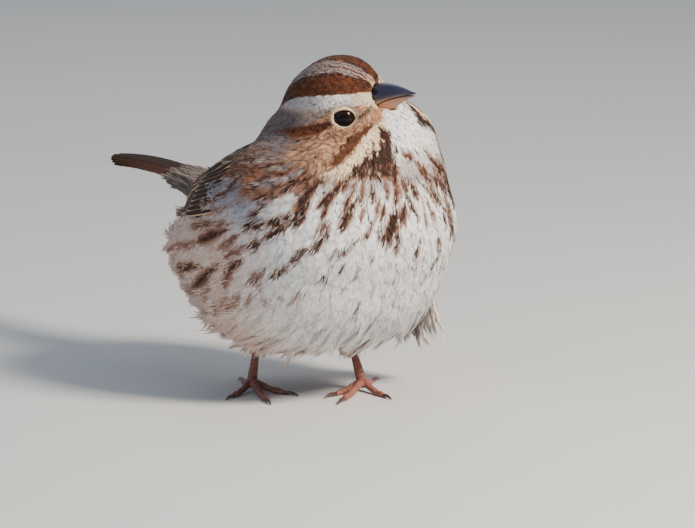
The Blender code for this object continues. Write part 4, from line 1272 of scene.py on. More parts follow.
class Coat:
    """Skin, outline and roots that all the feather pieces share."""

    def __init__(self):
        nodes = BODY_NODES + WING_NODES
        outline = smooth_shell("outline", nodes, voxel=0.95 * MM, rounds=5, swell=SWELL)
        self.outline = Surface(outline.data)
        bpy.data.objects.remove(outline)
        skin = smooth_shell("body_skin", BODY_NODES, voxel=0.8 * MM, rounds=8, swell=SWELL)
        self.skin_object = skin
        self.streaks = Streaks(self.outline)
        self.shape_skin()
        self.roots()

    def shape_skin(self):
        """Draws the skin in by the depth of the coat and lays out its bake map."""
        obj = self.skin_object
        points = points_of(obj.data)
        deep = coat_depth(points) * MM
        move_points(obj.data, points - normals_of(obj.data) * deep[:, None])
        add_modifier(obj, "SMOOTH", factor=0.5, iterations=4)
        add_modifier(obj, "TRIANGULATE")
        edit_all(obj, bpy.ops.uv.smart_project, angle_limit=radians(66), island_margin=0.004)
        obj.data.uv_layers.active.name = "OFBake"
        self.skin = Surface(obj.data)
        self.skin_uv = read(obj.data.uv_layers["OFBake"].data, "uv", 2).reshape(-1, 3, 2)

    def under(self, places):
        """Nearest points of the skin, and their places on its bake map."""
        spots, _, faces = self.skin.nearest(places)
        share = self.skin.weights(spots, faces)
        return spots, (self.skin_uv[faces] * share[..., None]).sum(1)

    def roots(self):
        """Where feathers grow: spread over the outline, closer together on the face."""
        rng = np.random.default_rng(5)
        surface = self.outline
        corners = surface.points[surface.triangles]
        ab, ac = corners[:, 1] - corners[:, 0], corners[:, 2] - corners[:, 0]
        area = np.linalg.norm(np.cross(ab, ac), axis=1)
        dense = area / plume_spacing(corners.mean(1)) ** 2
        total = int(dense.sum() / 2 / MM**2 * 4.2)
        picked = rng.choice(len(dense), total, p=dense / dense.sum())
        a, b = rng.uniform(0, 1, (2, total))
        fold = a + b > 1
        a[fold], b[fold] = 1 - a[fold], 1 - b[fold]
        share = np.stack((1 - a - b, a, b), 1)
        places = (corners[picked] * share[..., None]).sum(1)
        gap = plume_spacing(places) * MM
        places, gap = self.bare_places_dropped(places, gap)
        tree = KDTree(len(places))
        for i, place in enumerate(places.tolist()):
            tree.insert(place, i)
        tree.balance()
        keep = np.ones(len(places), bool)
        for i, (place, reach) in enumerate(zip(places.tolist(), gap.tolist())):
            if keep[i]:
                for _, j, _ in tree.find_range(place, reach):
                    if j > i:
                        keep[j] = False
        self.places = places[keep]
        self.region = region_of(self.places)

    def bare_places_dropped(self, places, gap):
        """Leaves out the eyes, the bill, the wings and what lies behind the root of the tail."""
        x, y, z = to_head(places).T
        bill = (y > 13.6) & (np.abs(x) < 3.6 - 0.18 * (y - 13)) & (np.abs(z + 0.3) < 4.4)
        tail = places[:, 1] >= TAIL_ROOT - 0.3 * np.abs(places[:, 0])
        keep = (off_eyes(places) > PLUCKED_EYE) & ~bill & ~tail
        wings = Surface(joined_mesh(WING_NODES)).tree
        for i in np.flatnonzero(places[:, 1] > WING_COVER):
            if wings.find_nearest(places[i].tolist(), PLUCKED_WING * MM)[0] is not None:
                keep[i] = False
        return places[keep], gap[keep]

    def tract(self, places, barbs, seed):
        """Feathers on the places, with their bake places, nearest streaks and droop."""
        rng = np.random.default_rng(seed)
        length = plume_length(places) * rng.uniform(0.86, 1.12, len(places)) * MM
        loose = fluffed(places)
        wisp = rng.uniform(0, 1, len(places)) < WISPS
        wisp &= (loose > 0.45) & (places[:, 2] < 0.046)
        length = np.where(wisp, length * rng.uniform(1.15, 1.45, len(places)), length)
        turns = rng.normal(0, 0.10 + 0.16 * loose)
        count = 4 if barbs < 8 else 6
        paths, ups = walk(self.outline, places, length / (count - 1), turns, count)
        spots, bake = self.under(places)
        deep = np.linalg.norm(spots - paths[:, 0], axis=1)
        t = np.linspace(0, 1, count)[None]
        sunk = deep[:, None] * (1 - t) ** 2.6
        raised = np.where(rng.uniform(0, 1, len(places)) < 0.12, 1.1, 0.35)
        tips = np.abs(rng.normal(0, 0.4, len(places))) * (0.02 + 0.7 * raised * loose) * MM
        stand = np.where(wisp, rng.uniform(0.4, 2.0, len(places)) * loose, 0)
        tips = np.minimum(tips, 1.3 * MM) + stand * MM
        rise = tips[:, None] * t**2
        paths = paths + ups * (rise - sunk)[..., None]
        half = length * (0.20 - 0.03 * loose) * np.where(wisp, 0.62, 1)
        made = Feathers(paths, ups, half, barbs, loose * 0.9, rng)
        near = self.streaks.near(paths[:, -2])
        z = places[:, 2] / MM
        low = fade(z, 34, 22) * fade(z, 10, 16)
        droop = low * loose * np.abs(rng.normal(0.4, 0.5, len(places))) * MM
        return made, bake, near, droop


def joined_mesh(nodes):
    """A loose mesh of several nodes, for distances only."""
    work = bmesh.new()
    for node in nodes:
        work.from_mesh(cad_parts[node].data)
    mesh = bpy.data.meshes.new("distances")
    work.to_mesh(mesh)
    work.free()
    return mesh


coat = None


def shared_coat():
    """The coat's shared shapes, made the first time that they are asked for."""
    global coat
    if coat is None:
        coat = Coat()
    return coat


HANGING = ((29.5, -44, 27), (27, -30, 19))  # ends of the row of loose plumes, in millimetres


def hanging_plumes(made, finish):
    """Loose plumes that hang from the left flank, within the widest part of the trunk."""
    rng = np.random.default_rng(21)
    count, steps = 80, 7
    share = rng.uniform(0, 1, count)[:, None]
    roots = mix(*np.array(HANGING), share) * MM + rng.normal(0, 1.2, (count, 3)) * MM
    roots, ups, _ = made.outline.nearest(roots)
    roots = roots - ups * 0.8 * MM
    aside = rng.normal(0.10, 0.24, count)
    way = unit(np.stack((aside, 0.25 + rng.normal(0, 0.2, count), -np.ones(count)), 1))
    length = rng.uniform(9.5, 15.5, count) * MM * (1 - 0.35 * share[:, 0])
    t = np.linspace(0, 1, steps)[None, :, None]
    bend = rng.normal(0.2, 0.6, count), rng.normal(0, 0.8, count), np.full(count, 0.4)
    curl = np.stack(bend, 1) * MM
    paths = roots[:, None] + way[:, None] * length[:, None, None] * t + curl[:, None] * t**2
    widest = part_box("trunk")[1][0] - 0.3 * MM
    paths[..., 0] -= 0.85 * np.maximum(paths[..., 0] - widest, 0)
    out = unit(ups + np.array((-0.2, -1.3, 0.4)))
    out = unit(out[:, None] - way[:, None] * (out * way).sum(1)[:, None, None])
    out = np.repeat(out, steps, 1)
    loose = np.full(count, 0.85)
    tract = Feathers(paths, out, half=length * 0.065, barbs=12, loose=loose, rng=rng)
    pale = mix(tone("white"), tone("buff"), 0.3) * 0.8
    brown = mix(tone("rufous"), tone("buff"), 0.2)
    base = lay(np.tile(pale, (count, 1)), brown, 0.7 * fade(rng.uniform(0, 1, count), 0.62, 0.8))
    return feather_piece("hanging_flank_plumes", tract, finish, made.under(roots)[1], base=base)


def tail_coverts(made, finish):
    """Rings of feathers that cover the root of the tail all round."""
    rng = np.random.default_rng(22)
    steps, around, rings = 7, 26, 4
    t = np.linspace(0, 1, steps)
    paths, outs, high = [], [], []
    for ring in range(rings):
        for place in range(around):
            turn = 2 * pi * (place + 0.5 * (ring % 2)) / around + rng.normal(0, 0.05)
            root = 11.5 + 2.3 * ring + rng.normal(0, 0.4)
            y = mix(root, root + rng.uniform(11, 14) + (3 if sin(turn) < -0.3 else 0), t)
            x = cos(turn) * mix(7.6 - 0.3 * ring, 6.9, t)
            deep = (2.6 - 0.4 * ring) if sin(turn) > 0 else (8.0 - 1.6 * ring)
            rise = sin(turn) * mix(deep, 1.5, 1 - (1 - t) ** 1.3)
            z = tail_height((y - TAIL_START) / TAIL_LENGTH) + 0.9 - TAIL_ROUND * x * x + rise
            paths.append(np.stack((x, y, z), 1) * MM)
            outs.append(np.tile((cos(turn) / 7.6, 0.0, sin(turn) / deep), (steps, 1)))
            high.append(sin(turn))
    paths, outs, high = np.array(paths), unit(np.array(outs)), np.array(high)
    count = len(paths)
    half, loose = rng.uniform(1.8, 2.2, count) * MM, np.full(count, 0.3)
    tract = Feathers(paths, outs, half=half, barbs=16, loose=loose, rng=rng)
    above = mix(tone("earth"), tone("grey"), 0.4) * 0.8
    below = mix(tone("white"), tone("buff"), 0.4) * 0.75
    base = lay(np.tile(below, (count, 1)), above, fade(high, -0.45, -0.15))
    return feather_piece("tail_coverts", tract, finish, made.under(paths[:, 0])[1], base=base)


def dress(piece, slot, *replaced):
    """Puts a piece on the body, in place of frame nodes. slot is not used."""
    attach(piece, "root")
    if replaced:
        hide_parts(*replaced)


# Long feathers of the wings and tail


def smooth_line(points, steps):
    """Points along a smooth curve through the given ones."""
    points = np.array(points, float)
    ends = np.vstack((points[0] * 2 - points[1], points, points[-1] * 2 - points[-2]))
    where = np.linspace(0, len(points) - 1, steps)
    i = np.minimum(where.astype(int), len(points) - 2)
    t = (where - i)[:, None]
    a, b, c, d = (ends[i + k] for k in range(4))
    bend = (2 * a - 5 * b + 4 * c - d) * t**2 + (3 * b - a - 3 * c + d) * t**3
    return 0.5 * (2 * b + (c - a) * t + bend)


# The middle line of the folded left wing, in millimetres from its shoulder, and its outward side.
WING_LINE = (
    (27.6, 0, 56.5),
    (29.6, 12, 55),
    (27.8, 24, 53.2),
    (23, 34, 50.8),
    (17.2, 43, 48.2),
    (12, 51, 46),
)
WING_OUTWARD = (
    (0.88, -0.34, 0.34),
    (0.92, -0.04, 0.38),
    (0.84, 0.24, 0.48),
    (0.68, 0.42, 0.60),
    (0.56, 0.46, 0.69),
    (0.48, 0.42, 0.77),
)
WING_FRONT = -40.8  # Y of the shoulder


class WingSheet:
    """The outer face of a folded wing: t from shoulder to tip, v down across it in millimetres."""

    ALONG, ACROSS = 64, 25
    TOP, BOTTOM = -11.0, 8.0

    def __init__(self, side):
        flip = np.array((SIDES[side], 1, 1))
        line = smooth_line(WING_LINE, self.ALONG)
        line[:, 1] += WING_FRONT
        outward = unit(smooth_line(WING_OUTWARD, self.ALONG))
        along = unit(np.gradient(line, axis=0))
        down = unit(np.cross(along, outward))
        down *= np.where(down[:, 2:] > 0, -1, 1)
        tree = Surface(joined_mesh(wing_nodes(side))).tree
        grid = np.empty((self.ALONG, self.ACROSS, 3))
        rise = np.full((self.ALONG, self.ACROSS), np.nan)
        outward = outward * flip
        for i, out in enumerate(outward):
            for j, v in enumerate(np.linspace(self.TOP, self.BOTTOM, self.ACROSS)):
                place = grid[i, j] = (line[i] + down[i] * v) * flip * MM
                hit = tree.ray_cast(Vector(place + out * 12 * MM), Vector(-out), 20 * MM)[0]
                if hit is not None:
                    rise[i, j] = (np.array(hit) - place) @ out
        self.grid = grid + outward[:, None] * self.filled(rise)[..., None]
        run, across = np.gradient(self.grid, axis=0), np.gradient(self.grid, axis=1)
        normals = unit(np.cross(run, across))
        self.normals = normals * np.sign((normals * outward[:, None]).sum(2, keepdims=True))

    @staticmethod
    def filled(rise):
        """Fills the places that the plates don't reach and evens out the steps."""

        def beside(**edge):
            padded = np.pad(rise, 1, **edge)
            return padded[:-2, 1:-1], padded[2:, 1:-1], padded[1:-1, :-2], padded[1:-1, 2:]

        for _ in range(max(rise.shape)):
            around = np.stack(beside(constant_values=np.nan))
            known = ~np.isnan(around)
            number = known.sum(0)
            fill = np.isnan(rise) & (number > 0)
            rise[fill] = np.where(known, around, 0).sum(0)[fill] / number[fill]
        for _ in range(6):
            rise = (sum(beside(mode="edge")) + 2 * rise) / 6
        return rise

    def at(self, t, v):
        """Place and normal at t from 0 to 1 and v in millimetres."""
        a = np.clip(t, 0, 1.04) * (self.ALONG - 1)
        b = (np.clip(v, self.TOP, self.BOTTOM) - self.TOP) / (self.BOTTOM - self.TOP)
        b = b * (self.ACROSS - 1)
        i = np.clip(a.astype(int), 0, self.ALONG - 2)
        j = np.clip(b.astype(int), 0, self.ACROSS - 2)
        fa, fb = (a - i)[..., None], (b - j)[..., None]
        found = []
        for data in (self.grid, self.normals):
            top = mix(data[i, j], data[i + 1, j], fa)
            low = mix(data[i, j + 1], data[i + 1, j + 1], fa)
            found.append(mix(top, low, fb))
        return found[0], unit(found[1])


def vane_grid(long, wide):
    """Shares along and across, and the triangles of one vane."""
    a, b = np.meshgrid(np.linspace(0, 1, long), np.linspace(-1, 1, wide), indexing="ij")
    rows = np.arange(long * wide).reshape(long, wide)
    p, q, r, s = rows[:-1, :-1], rows[1:, :-1], rows[1:, 1:], rows[:-1, 1:]
    halves = np.stack((p, q, r), 2), np.stack((p, r, s), 2)
    return a, b, np.concatenate([half.reshape(-1, 3) for half in halves])


def blunt(a, tip):
    """Width of a vane along it: quick at the root, rounded at the tip."""
    rounded = np.sqrt(np.clip(1 - ((a - 1 + tip) / tip).clip(0) ** 2.2, 0, 1))
    return np.minimum(1, 3.2 * a + 0.25) ** 0.6 * rounded


# Kinds of long feather: how much of its length the rounded tip takes, where its pale rim starts
# between shaft and edge, and how pale the rim of the tip is.
KINDS = {
    "primary": (0.34, 0.84, 0.25),
    "secondary": (0.34, 0.74, 0.25),
    "tertial": (0.42, 0.72, 0.9),
    "covert": (0.42, 0.70, 0.9),
    "tail": (0.16, 0.88, 0.25),
}


class Fan:
    """The long feathers of a wing or the tail in the making, which end as one piece."""

    def __init__(self, long, wide, patches, patch, margin, rng):
        """patches is how many lie side by side on the bake map, patch and margin their sizes."""
        self.a, self.b, self.faces = vane_grid(long, wide)
        self.patches, self.patch, self.margin = patches, patch, margin
        self.rng = rng
        self.rows = []

    def add(self, places, kind, rim, core, turned):
        """Adds a feather, with its colours and its own patch of the bake map."""
        number = len(self.rows)
        row, column = divmod(number, self.patches)
        spot = np.array((column, row)) / self.patches
        uv = spot + np.stack(((self.b + 1) / 2, self.a), 2) * self.patch + self.margin
        faces = (self.faces[:, ::-1] if turned else self.faces) + number * self.a.size
        tints = self.tints(kind, rim, core)
        self.rows.append((places.reshape(-1, 3), faces, tints.reshape(-1, 3), uv.reshape(-1, 2)))

    def tints(self, kind, rim, core):
        """Dark middle, pale rim and a darker shaft."""
        a, b, rng = self.a, self.b, self.rng
        _, start, pale = KINDS[kind]
        streak = np.sin(b * 60 + a * 90) * 0.05 + rng.normal(0, 0.02, a.shape)
        out = np.abs(b)
        tints = lay(core * np.ones((*a.shape, 3)), tone("dark") * 1.3, fade(out, 0.75, 0.1) * 0.7)
        edge = fade(out + 0.10 * rng.normal(0, 0.3), start - 0.08, start + 0.06)
        tints = lay(tints, rim, np.maximum(edge, fade(a, 0.93, 0.99) * pale))
        tints = lay(tints, tone("dark") * 0.9, fade(out, 0.07, 0.02) * 0.6)
        return np.clip(tints * (1 + streak)[..., None], 0.003, 0.9)

    def piece(self, name, finish, nodes):
        """Makes the piece, in place of frame nodes."""
        points, faces, tints, uv = (np.concatenate(part) for part in zip(*self.rows))
        dress(mesh_object(name, points, faces, finish, tints, uv), "flight_feathers", *nodes)


def wing_nodes(side):
    return [node for node in WING_NODES if node.endswith(side)]


def wing_feathers():
    """Layout of one folded wing: kind, root (t, v), tip (t, v), half width and layer."""
    rows = []
    for i in range(9):
        tip = (0.955 + 0.045 * sin(pi * i / 8) - 0.006 * i, 5.4 - 0.20 * i)
        rows.append(("primary", (0.40, 5.6 - 0.30 * i), tip, 1.0, -1.2 + 0.12 * i))
    for i in range(9):
        tip = (0.95 - 0.030 * i, 4.3 - 0.45 * i)
        rows.append(("secondary", (0.36, 3.4 - 1.45 * i), tip, 1.15, -0.3 + 0.12 * i))
    for i, tip in enumerate(((0.72, -1.4), (0.64, -3.4), (0.56, -5.2))):
        rows.append(("tertial", (0.26, -7.2 - 0.9 * i), tip, 1.9 - 0.1 * i, 0.75 + 0.16 * i))
    for i in range(9):
        tip = (0.47 - 0.012 * i + 0.012 * (i % 2), 5.4 - 1.30 * i)
        rows.append(("covert", (0.16, 3.0 - 1.5 * i), tip, 1.0, 0.75 + 0.05 * i))
    return rows


def wing_tones():
    """Rim and middle of each kind of wing feather."""
    rufous, buff, earth, dark = tones("rufous", "buff", "earth", "dark")
    return {
        "primary": (mix(buff, earth, 0.3), mix(earth, dark, 0.6)),
        "secondary": (mix(rufous * 2.0, buff, 0.7), mix(rufous, dark, 0.9)),
        "tertial": (mix(rufous * 1.6, buff, 0.6), mix(rufous, dark, 0.85)),
        "covert": (mix(rufous * 1.6, buff, 0.75), mix(rufous, dark, 0.85)),
    }


def build_wing(side, finish):
    """One folded wing, with each feather laid on the outer face of the frame's plates."""
    sheet = WingSheet(side)
    rng = np.random.default_rng(40 + SIDES[side])
    fan = Fan(long=34, wide=11, patches=8, patch=0.115, margin=0.004, rng=rng)
    a, b = fan.a, fan.b
    colours = wing_tones()
    for number, (kind, root, tip, half, layer) in enumerate(wing_feathers()):
        sweep = 0.25 * (tip[1] - root[1])
        v_mid = mix(root[1], tip[1], a) + sweep * np.sin(pi * a) * 0.4
        width = half * blunt(a, KINDS[kind][0])
        ragged = 1 + 0.025 * np.sin(a * 170 + number) * (np.abs(b) > 0.9)
        places, normals = sheet.at(mix(root[0], tip[0], a), v_mid + b * width * ragged)
        camber = 0.30 * (1 - b * b) * width / max(half, 0.1)
        ribs = 0.018 * np.sin((a * 46 - np.abs(b) * 7) * 2 * pi)
        height = (layer - 1.15 + camber + 0.35 * a + ribs) * MM
        rim, core = colours[kind]
        rim = rim if number else tone("white") * 0.9  # the outermost primary has a pale edge
        fan.add(places + normals * height[..., None], kind, rim, core, SIDES[side] < 0)
    fan.piece(f"{side}_wing_feathers", finish, wing_nodes(side))


def build_tail(finish):
    """Twelve tail feathers, the middle pair on top and the outer ones shorter."""
    rng = np.random.default_rng(77)
    fan = Fan(long=44, wide=11, patches=4, patch=0.23, margin=0.01, rng=rng)
    a, b = fan.a, fan.b
    rufous, earth, dark = tones("rufous", "earth", "dark")
    rim = mix(mix(rufous, earth, 0.3) * 0.8, dark, 0.58)
    for pair in range(TAIL_PAIRS):
        for side in SIDES.values():
            outer = pair / (TAIL_PAIRS - 1)
            length = TAIL_LENGTH - TAIL_GRADUATION * (0.86 * outer) ** 2 - 0.8
            spread = 0.62 + 0.38 * np.minimum(1, 1.5 * a)
            half = 2.35 * blunt(a, KINDS["tail"][0]) * (0.55 + 0.45 * np.minimum(1, 2 * a))
            x = side * ((0.9 + 3.9 * outer) * spread) + b * half * spread**0.5
            z = tail_height(a) - TAIL_ROUND * x * x + 1.45 - 0.19 * pair + 0.12 * (1 - b * b)
            z = z + 0.02 * np.sin((a * 70 - np.abs(b) * 6) * 2 * pi)
            z = z + (0.06 if side > 0 else 0)
            places = np.stack((x, TAIL_START + length * a, z), 2) * MM
            core = mix(rufous * 0.8, dark, 0.97 - 0.25 * outer) * np.array((0.88, 0.96, 1.15))
            fan.add(places, "tail", rim, core, True)
    fan.piece("tail_feathers", finish, TAIL_NODES)


# Eyes and lids


def eye_axis(side):
    """The way an eye looks out of the head."""
    return unit(np.array((-SIDES[side] * 0.93, 0.34, 0.10)) @ HEAD)


def turned_to(axis):
    """The turn that brings +Z to an axis."""
    return Vector(axis).to_track_quat("Z", "Y").to_matrix().to_4x4()


def build_eye(side):
    """A glossy globe with a raised cornea. Its pupil and iris are marked on the mesh."""
    select_nothing()
    bpy.ops.mesh.primitive_uv_sphere_add(segments=56, ring_count=40, radius=EYE_RADIUS)
    globe = bpy.context.active_object
    globe.name = globe.data.name = f"eye_globe_{side}"
    points = points_of(globe.data)
    high = points[:, 2] / EYE_RADIUS
    points *= (1 + 0.045 * fade(high, 0.45, 0.95))[:, None]
    points[:, 2] *= 0.985
    move_points(globe.data, points)
    ring = np.degrees(np.arccos(np.clip(high, -1, 1)))
    dark = np.array((0.003, 0.003, 0.004))
    iris = np.array(bare_parts().iris)
    brown = fade(ring, 27, 31) * fade(ring, 60, 48)
    paint(globe.data, lay(np.broadcast_to(dark, points.shape), iris, brown))
    globe.data.transform(Matrix.Translation(Vector(EYES[side])) @ turned_to(eye_axis(side)))
    globe.data.shade_smooth()
    made = Finish("eye_gloss", Roughness=0.03, IOR=1.24)
    colour = made.markings()
    made.feed(Base_Color=made.blend(made.noise(2600, 2) * 0.3, colour, iris * 1.3))
    globe.data.materials.append(made.material)
    dress(globe, "eye", f"eye_{side}")


def build_lids(side, finish):
    """The bare rim round an eye, thicker above, with fine folds."""
    eye_turn = np.array(turned_to(eye_axis(side)))[:3, :3]
    around, over = 120, 14
    rows, tints = [], []
    rim = mix(tone("buff") * 1.1, tone("white"), 0.12)
    skin, edge = mix(tone("earth"), tone("dark"), 0.5), tone("dark") * 1.5
    ahead = eye_turn.T @ HEAD[1]
    ahead_turn = np.arctan2(ahead[1], ahead[0])
    rng = np.random.default_rng(8)
    for k in range(around):
        turn = 2 * pi * k / around
        lean = turn - ahead_turn
        open_at = 1 / np.hypot(cos(lean) / LID_WIDE, sin(lean) / LID_HIGH)
        corner = abs(cos(lean)) ** 8
        for j in range(over):
            share = j / (over - 1)
            polar = radians(mix(open_at, LID_END, share))
            swell = 1.08 + 0.12 * sin(pi * min(share * 1.2, 1)) ** 0.8 - 0.13 * share
            bristle = 0.010 * sin(turn * 29 + 2 * j) * sin(pi * share) + rng.normal(0, 0.004)
            local = np.array((sin(polar) * cos(turn), sin(polar) * sin(turn), cos(polar)))
            rows.append(EYES[side] + eye_turn @ (local * EYE_RADIUS * (swell + bristle)))
            pale = float(fade(share, 0.06, 0.16) * fade(share, 0.8, 0.62))
            pale = pale * (1 - 0.45 * corner) * rng.uniform(0.75, 1.0)
            tints.append(mix(mix(edge, skin, float(fade(share, 0.1, 0.5))), rim, pale))
    tris = []
    for k in range(around):
        for j in range(over - 1):
            p, q = k * over + j, (k + 1) % around * over + j
            tris += [(p, q, q + 1), (p, q + 1, p + 1)]
    faces = np.array(tris)[:, ::-1]
    made = mesh_object(f"eyelids_{side}", np.array(rows), faces, finish, np.array(tints))
    dress(made, "plumage")


# Bill


def bill_finish(name, tint):
    """Horn with a fine grain, waxy rather than wet."""
    made = Finish(name, IOR=1.5, Coat_Weight=0.12, Coat_Roughness=0.3)
    colour = made.markings()
    fine, grain = made.noise(1500, 4), made.noise(300, 3)
    made.feed(Base_Color=made.blend(grain * 0.25, colour, [c * 0.75 for c in tint]))
    made.feed(Roughness=fine * 0.2 + 0.28)
    made.bump(fine + grain, 0.12, 0.0002)
    return made


NOSTRIL = (2.0, 15.6, 2.1)  # in the head's axes, in millimetres
NOSTRIL_STRETCH = 1.7


def build_bill():
    """Both mandibles, smoothed from the frame's, with nostrils pressed into the upper one."""
    parts = bare_parts()
    top, low = np.array(parts.bill_top), np.array(parts.bill_low)
    for name, horn in (("upper", parts.bill_top), ("lower", parts.bill_low)):
        piece = smooth_shell(f"{name}_mandible", [f"bill_{name}"], voxel=0.16 * MM, rounds=5)
        points, normals = points_of(piece.data), normals_of(piece.data)
        head = to_head(points)
        along = fade(head[:, 1], 14, 25)
        if name == "upper":
            for side in SIDES.values():
                gap = head - np.array(NOSTRIL) * (side, 1, 1)
                gap[:, 1] /= NOSTRIL_STRETCH
                gap = np.linalg.norm(gap, axis=1)
                pit = fade(gap, 0.75, 0.2)
                rim = fade(gap, 1.3, 0.8) * (1 - pit)
                points = points + normals * (0.10 * rim - 0.42 * pit)[:, None] * MM
            tints = np.broadcast_to(top, head.shape)
            tints = lay(tints, top * 1.7, fade(head[:, 2], 3.0, 4.5) * 0.5)
            edge = fade(head[:, 2] + 0.09 * (head[:, 1] - 13), 1.2, 0.2)
            tints = lay(tints, mix(low, tone("buff"), 0.5) * 0.75, edge * (1 - along) * 0.8)
        else:
            tints = lay(np.broadcast_to(low, head.shape), top * 2.5, along * 0.55)
            gape = fade(head[:, 1], 16.5, 14.0)
            tints = lay(tints, np.array((0.72, 0.42, 0.17)), gape * 0.6)
        move_points(piece.data, points)
        paint(piece.data, tints)
        piece.data.materials.append(bill_finish(f"{name}_horn", horn).material)
        dress(piece, "bill_horn" if name == "upper" else "pale_horn", f"bill_{name}")


# Legs


def leg_finish():
    """Dry scaly skin, cracked between its plates."""
    made = Finish("leg_scutes", IOR=1.45)
    colour = made.markings()
    settings, named = {"feature": "DISTANCE_TO_EDGE"}, {"Vector": made.place(), "Scale": 1900.0}
    crack = made.node("ShaderNodeTexVoronoi", settings, **named)[0].between(0.02, 0.16)
    fine = made.noise(2500, 3)
    dusk = made.blend(crack, (0.06, 0.022, 0.018), (1, 1, 1))
    made.feed(Base_Color=made.blend(0.55, colour, made.blend(1.0, colour, dusk, "MULTIPLY")))
    made.feed(Roughness=fine * 0.25 + 0.38)
    made.bump(crack * 0.7 + fine * 0.3, 0.5, 0.00018)
    return made


SCALES = {"tarsus": 1.15, "toe": 0.85}  # millimetres from one cross plate to the next


def build_leg(side, finish):
    """One scaly skin over the shank and toes, with plates down the front and on the toes."""
    nodes = [f"tarsus_{side}"] + [f"toe_{toe}_{side}" for toe in TOES]
    sizes = {"voxel": 0.19 * MM, "rounds": 4, "swell": 0.16 * MM}
    piece = smooth_shell(f"leg_skin_{side}", nodes, **sizes)
    points, normals = points_of(piece.data), normals_of(piece.data)
    leg = np.array(bare_parts().leg)
    tints = np.broadcast_to(leg, points.shape)
    floor = points[:, 2].min()
    for node in nodes:
        shape = points_of(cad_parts[node].data)
        middle = shape.mean(0)
        axis = np.linalg.svd(shape - middle)[2][0]
        run, ends = (points - middle) @ axis, (shape - middle) @ axis / MM
        t = run / MM
        off = np.linalg.norm(points - middle - np.outer(run, axis), axis=1) / MM
        mine = fade(off, 2.6, 1.8) * (t > ends.min()) * (t < ends.max())
        plate = np.abs(((t / SCALES[node.split("_")[0]]) % 1) - 0.5) * 2
        facing = fade(normals[:, 2], -0.2, 0.35), fade(normals[:, 1], 0.3, -0.1)
        groove = fade(plate, 0.72, 1.0) * mine * facing[node.startswith("tarsus")]
        points = points - normals * (groove * 0.11 * MM)[:, None]
        tints = lay(tints, leg * 0.42, groove * 0.75)
    dusk = 0.5 + 0.5 * np.sin(points[:, 0] * 900) * np.sin(points[:, 1] * 1100 + 1)
    tints = lay(tints, leg * 0.55, 0.5 * dusk * fade(points[:, 2] / MM, 9, 2))
    points = points - normals * (0.10 * MM)
    points[:, 2] = np.maximum(points[:, 2], max(floor, 0.02 * MM))
    move_points(piece.data, points)
    paint(piece.data, tints)
    piece.data.materials.append(finish.material)
    dress(piece, "leg_scales", *nodes)


def claw_finish():
    """Polished horn, paler in clouds."""
    made = Finish("claw_horn", IOR=1.5, Coat_Weight=0.2, Coat_Roughness=0.2)
    shade = made.noise(700, 3)
    claw = tuple(bare_parts().claw)
    made.feed(Base_Color=made.blend(shade, claw, tuple(c * 2.6 for c in claw)))
    made.feed(Roughness=shade * 0.25 + 0.22)
    made.bump(made.noise(1800, 3), 0.2, 0.0001)
    return made


def build_claws(side, finish):
    """The claws of one foot, each smoothed from the frame's and level with its lowest point."""
    for toe in TOES:
        node = f"claw_{toe}_{side}"
        sizes = {"voxel": 0.11 * MM, "rounds": 3, "swell": 0.04 * MM}
        piece = smooth_shell(f"{node}_horn", [node], **sizes)
        low = points_of(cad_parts[node].data)[:, 2].min()
        points = points_of(piece.data)
        points[:, 2] = np.maximum(points[:, 2], low)
        move_points(piece.data, points)
        piece.data.materials.append(finish.material)
        dress(piece, "claw_horn", node)


# Operators


class MakeSkin(bpy.types.Operator):
    """Makes the skin under the feathers, one piece from head to thighs"""

    bl_idname = "sparrow.make_skin"
    bl_label = "Skin"

    def execute(self, context):
        made = shared_coat()
        skin = made.skin_object
        points = points_of(skin.data)
        rng = np.random.default_rng(3)
        near = made.streaks.near(points)
        speck = rng.uniform(0, 1, (len(points), 1))
        tints = coat_tints(points[:, None], near, made.streaks, speck, 0.3)[:, 0]
        paint(skin.data, np.clip(tints * 0.9, 0, 1))
        finish = plume_finish("skin_and_down", 0.9, 0.1)
        finish.bump(finish.noise(1200, 4), 0.6, 0.0006)
        skin.data.materials.append(finish.material)
        dress(skin, "plumage", *BODY_NODES)
        return {"FINISHED"}


class MakeCoat(bpy.types.Operator):
    """Makes the body feathers, tract by tract"""

    bl_idname = "sparrow.make_coat"
    bl_label = "Body feathers"

    def execute(self, context):
        made = shared_coat()
        finish = plume_finish("contour_feathers", 0.8, 0.06)
        for number, (name, barbs) in enumerate(TRACTS):
            places = made.places[made.region == number]
            most = PIECE_TRIANGLES // (barbs * 10 + 3)
            pieces = -(-len(places) // most)
            order = np.argsort(places[:, 1], kind="stable")
            for part, rows in enumerate(np.array_split(order, pieces)):
                tract, bake, *marks = made.tract(places[rows], barbs, 100 * part + number)
                title = f"{name}_{part + 1}" if pieces > 1 else name
                dress(feather_piece(title, tract, finish, bake, made.streaks, *marks), "plumage")
        dress(hanging_plumes(made, finish), "plumage")
        dress(tail_coverts(made, finish), "plumage")
        return {"FINISHED"}


class MakeWings(bpy.types.Operator):
    """Makes the folded wings, feather by feather"""

    bl_idname = "sparrow.make_wings"
    bl_label = "Wings"

    def execute(self, context):
        finish = plume_finish("wing_vanes", 0.7, 0.05)
        for side in SIDES:
            build_wing(side, finish)
        return {"FINISHED"}


class MakeTail(bpy.types.Operator):
    """Makes the twelve tail feathers"""

    bl_idname = "sparrow.make_tail"
    bl_label = "Tail"

    def execute(self, context):
        build_tail(plume_finish("tail_vanes", 0.85, 0.0))
        return {"FINISHED"}


class MakeEyes(bpy.types.Operator):
    """Makes the eyes and their lids"""

    bl_idname = "sparrow.make_eyes"
    bl_label = "Eyes and lids"

    def execute(self, context):
        finish = plume_finish("lid_skin", 0.7, 0.1)
        for side in SIDES:
            build_eye(side)
            build_lids(side, finish)
        return {"FINISHED"}


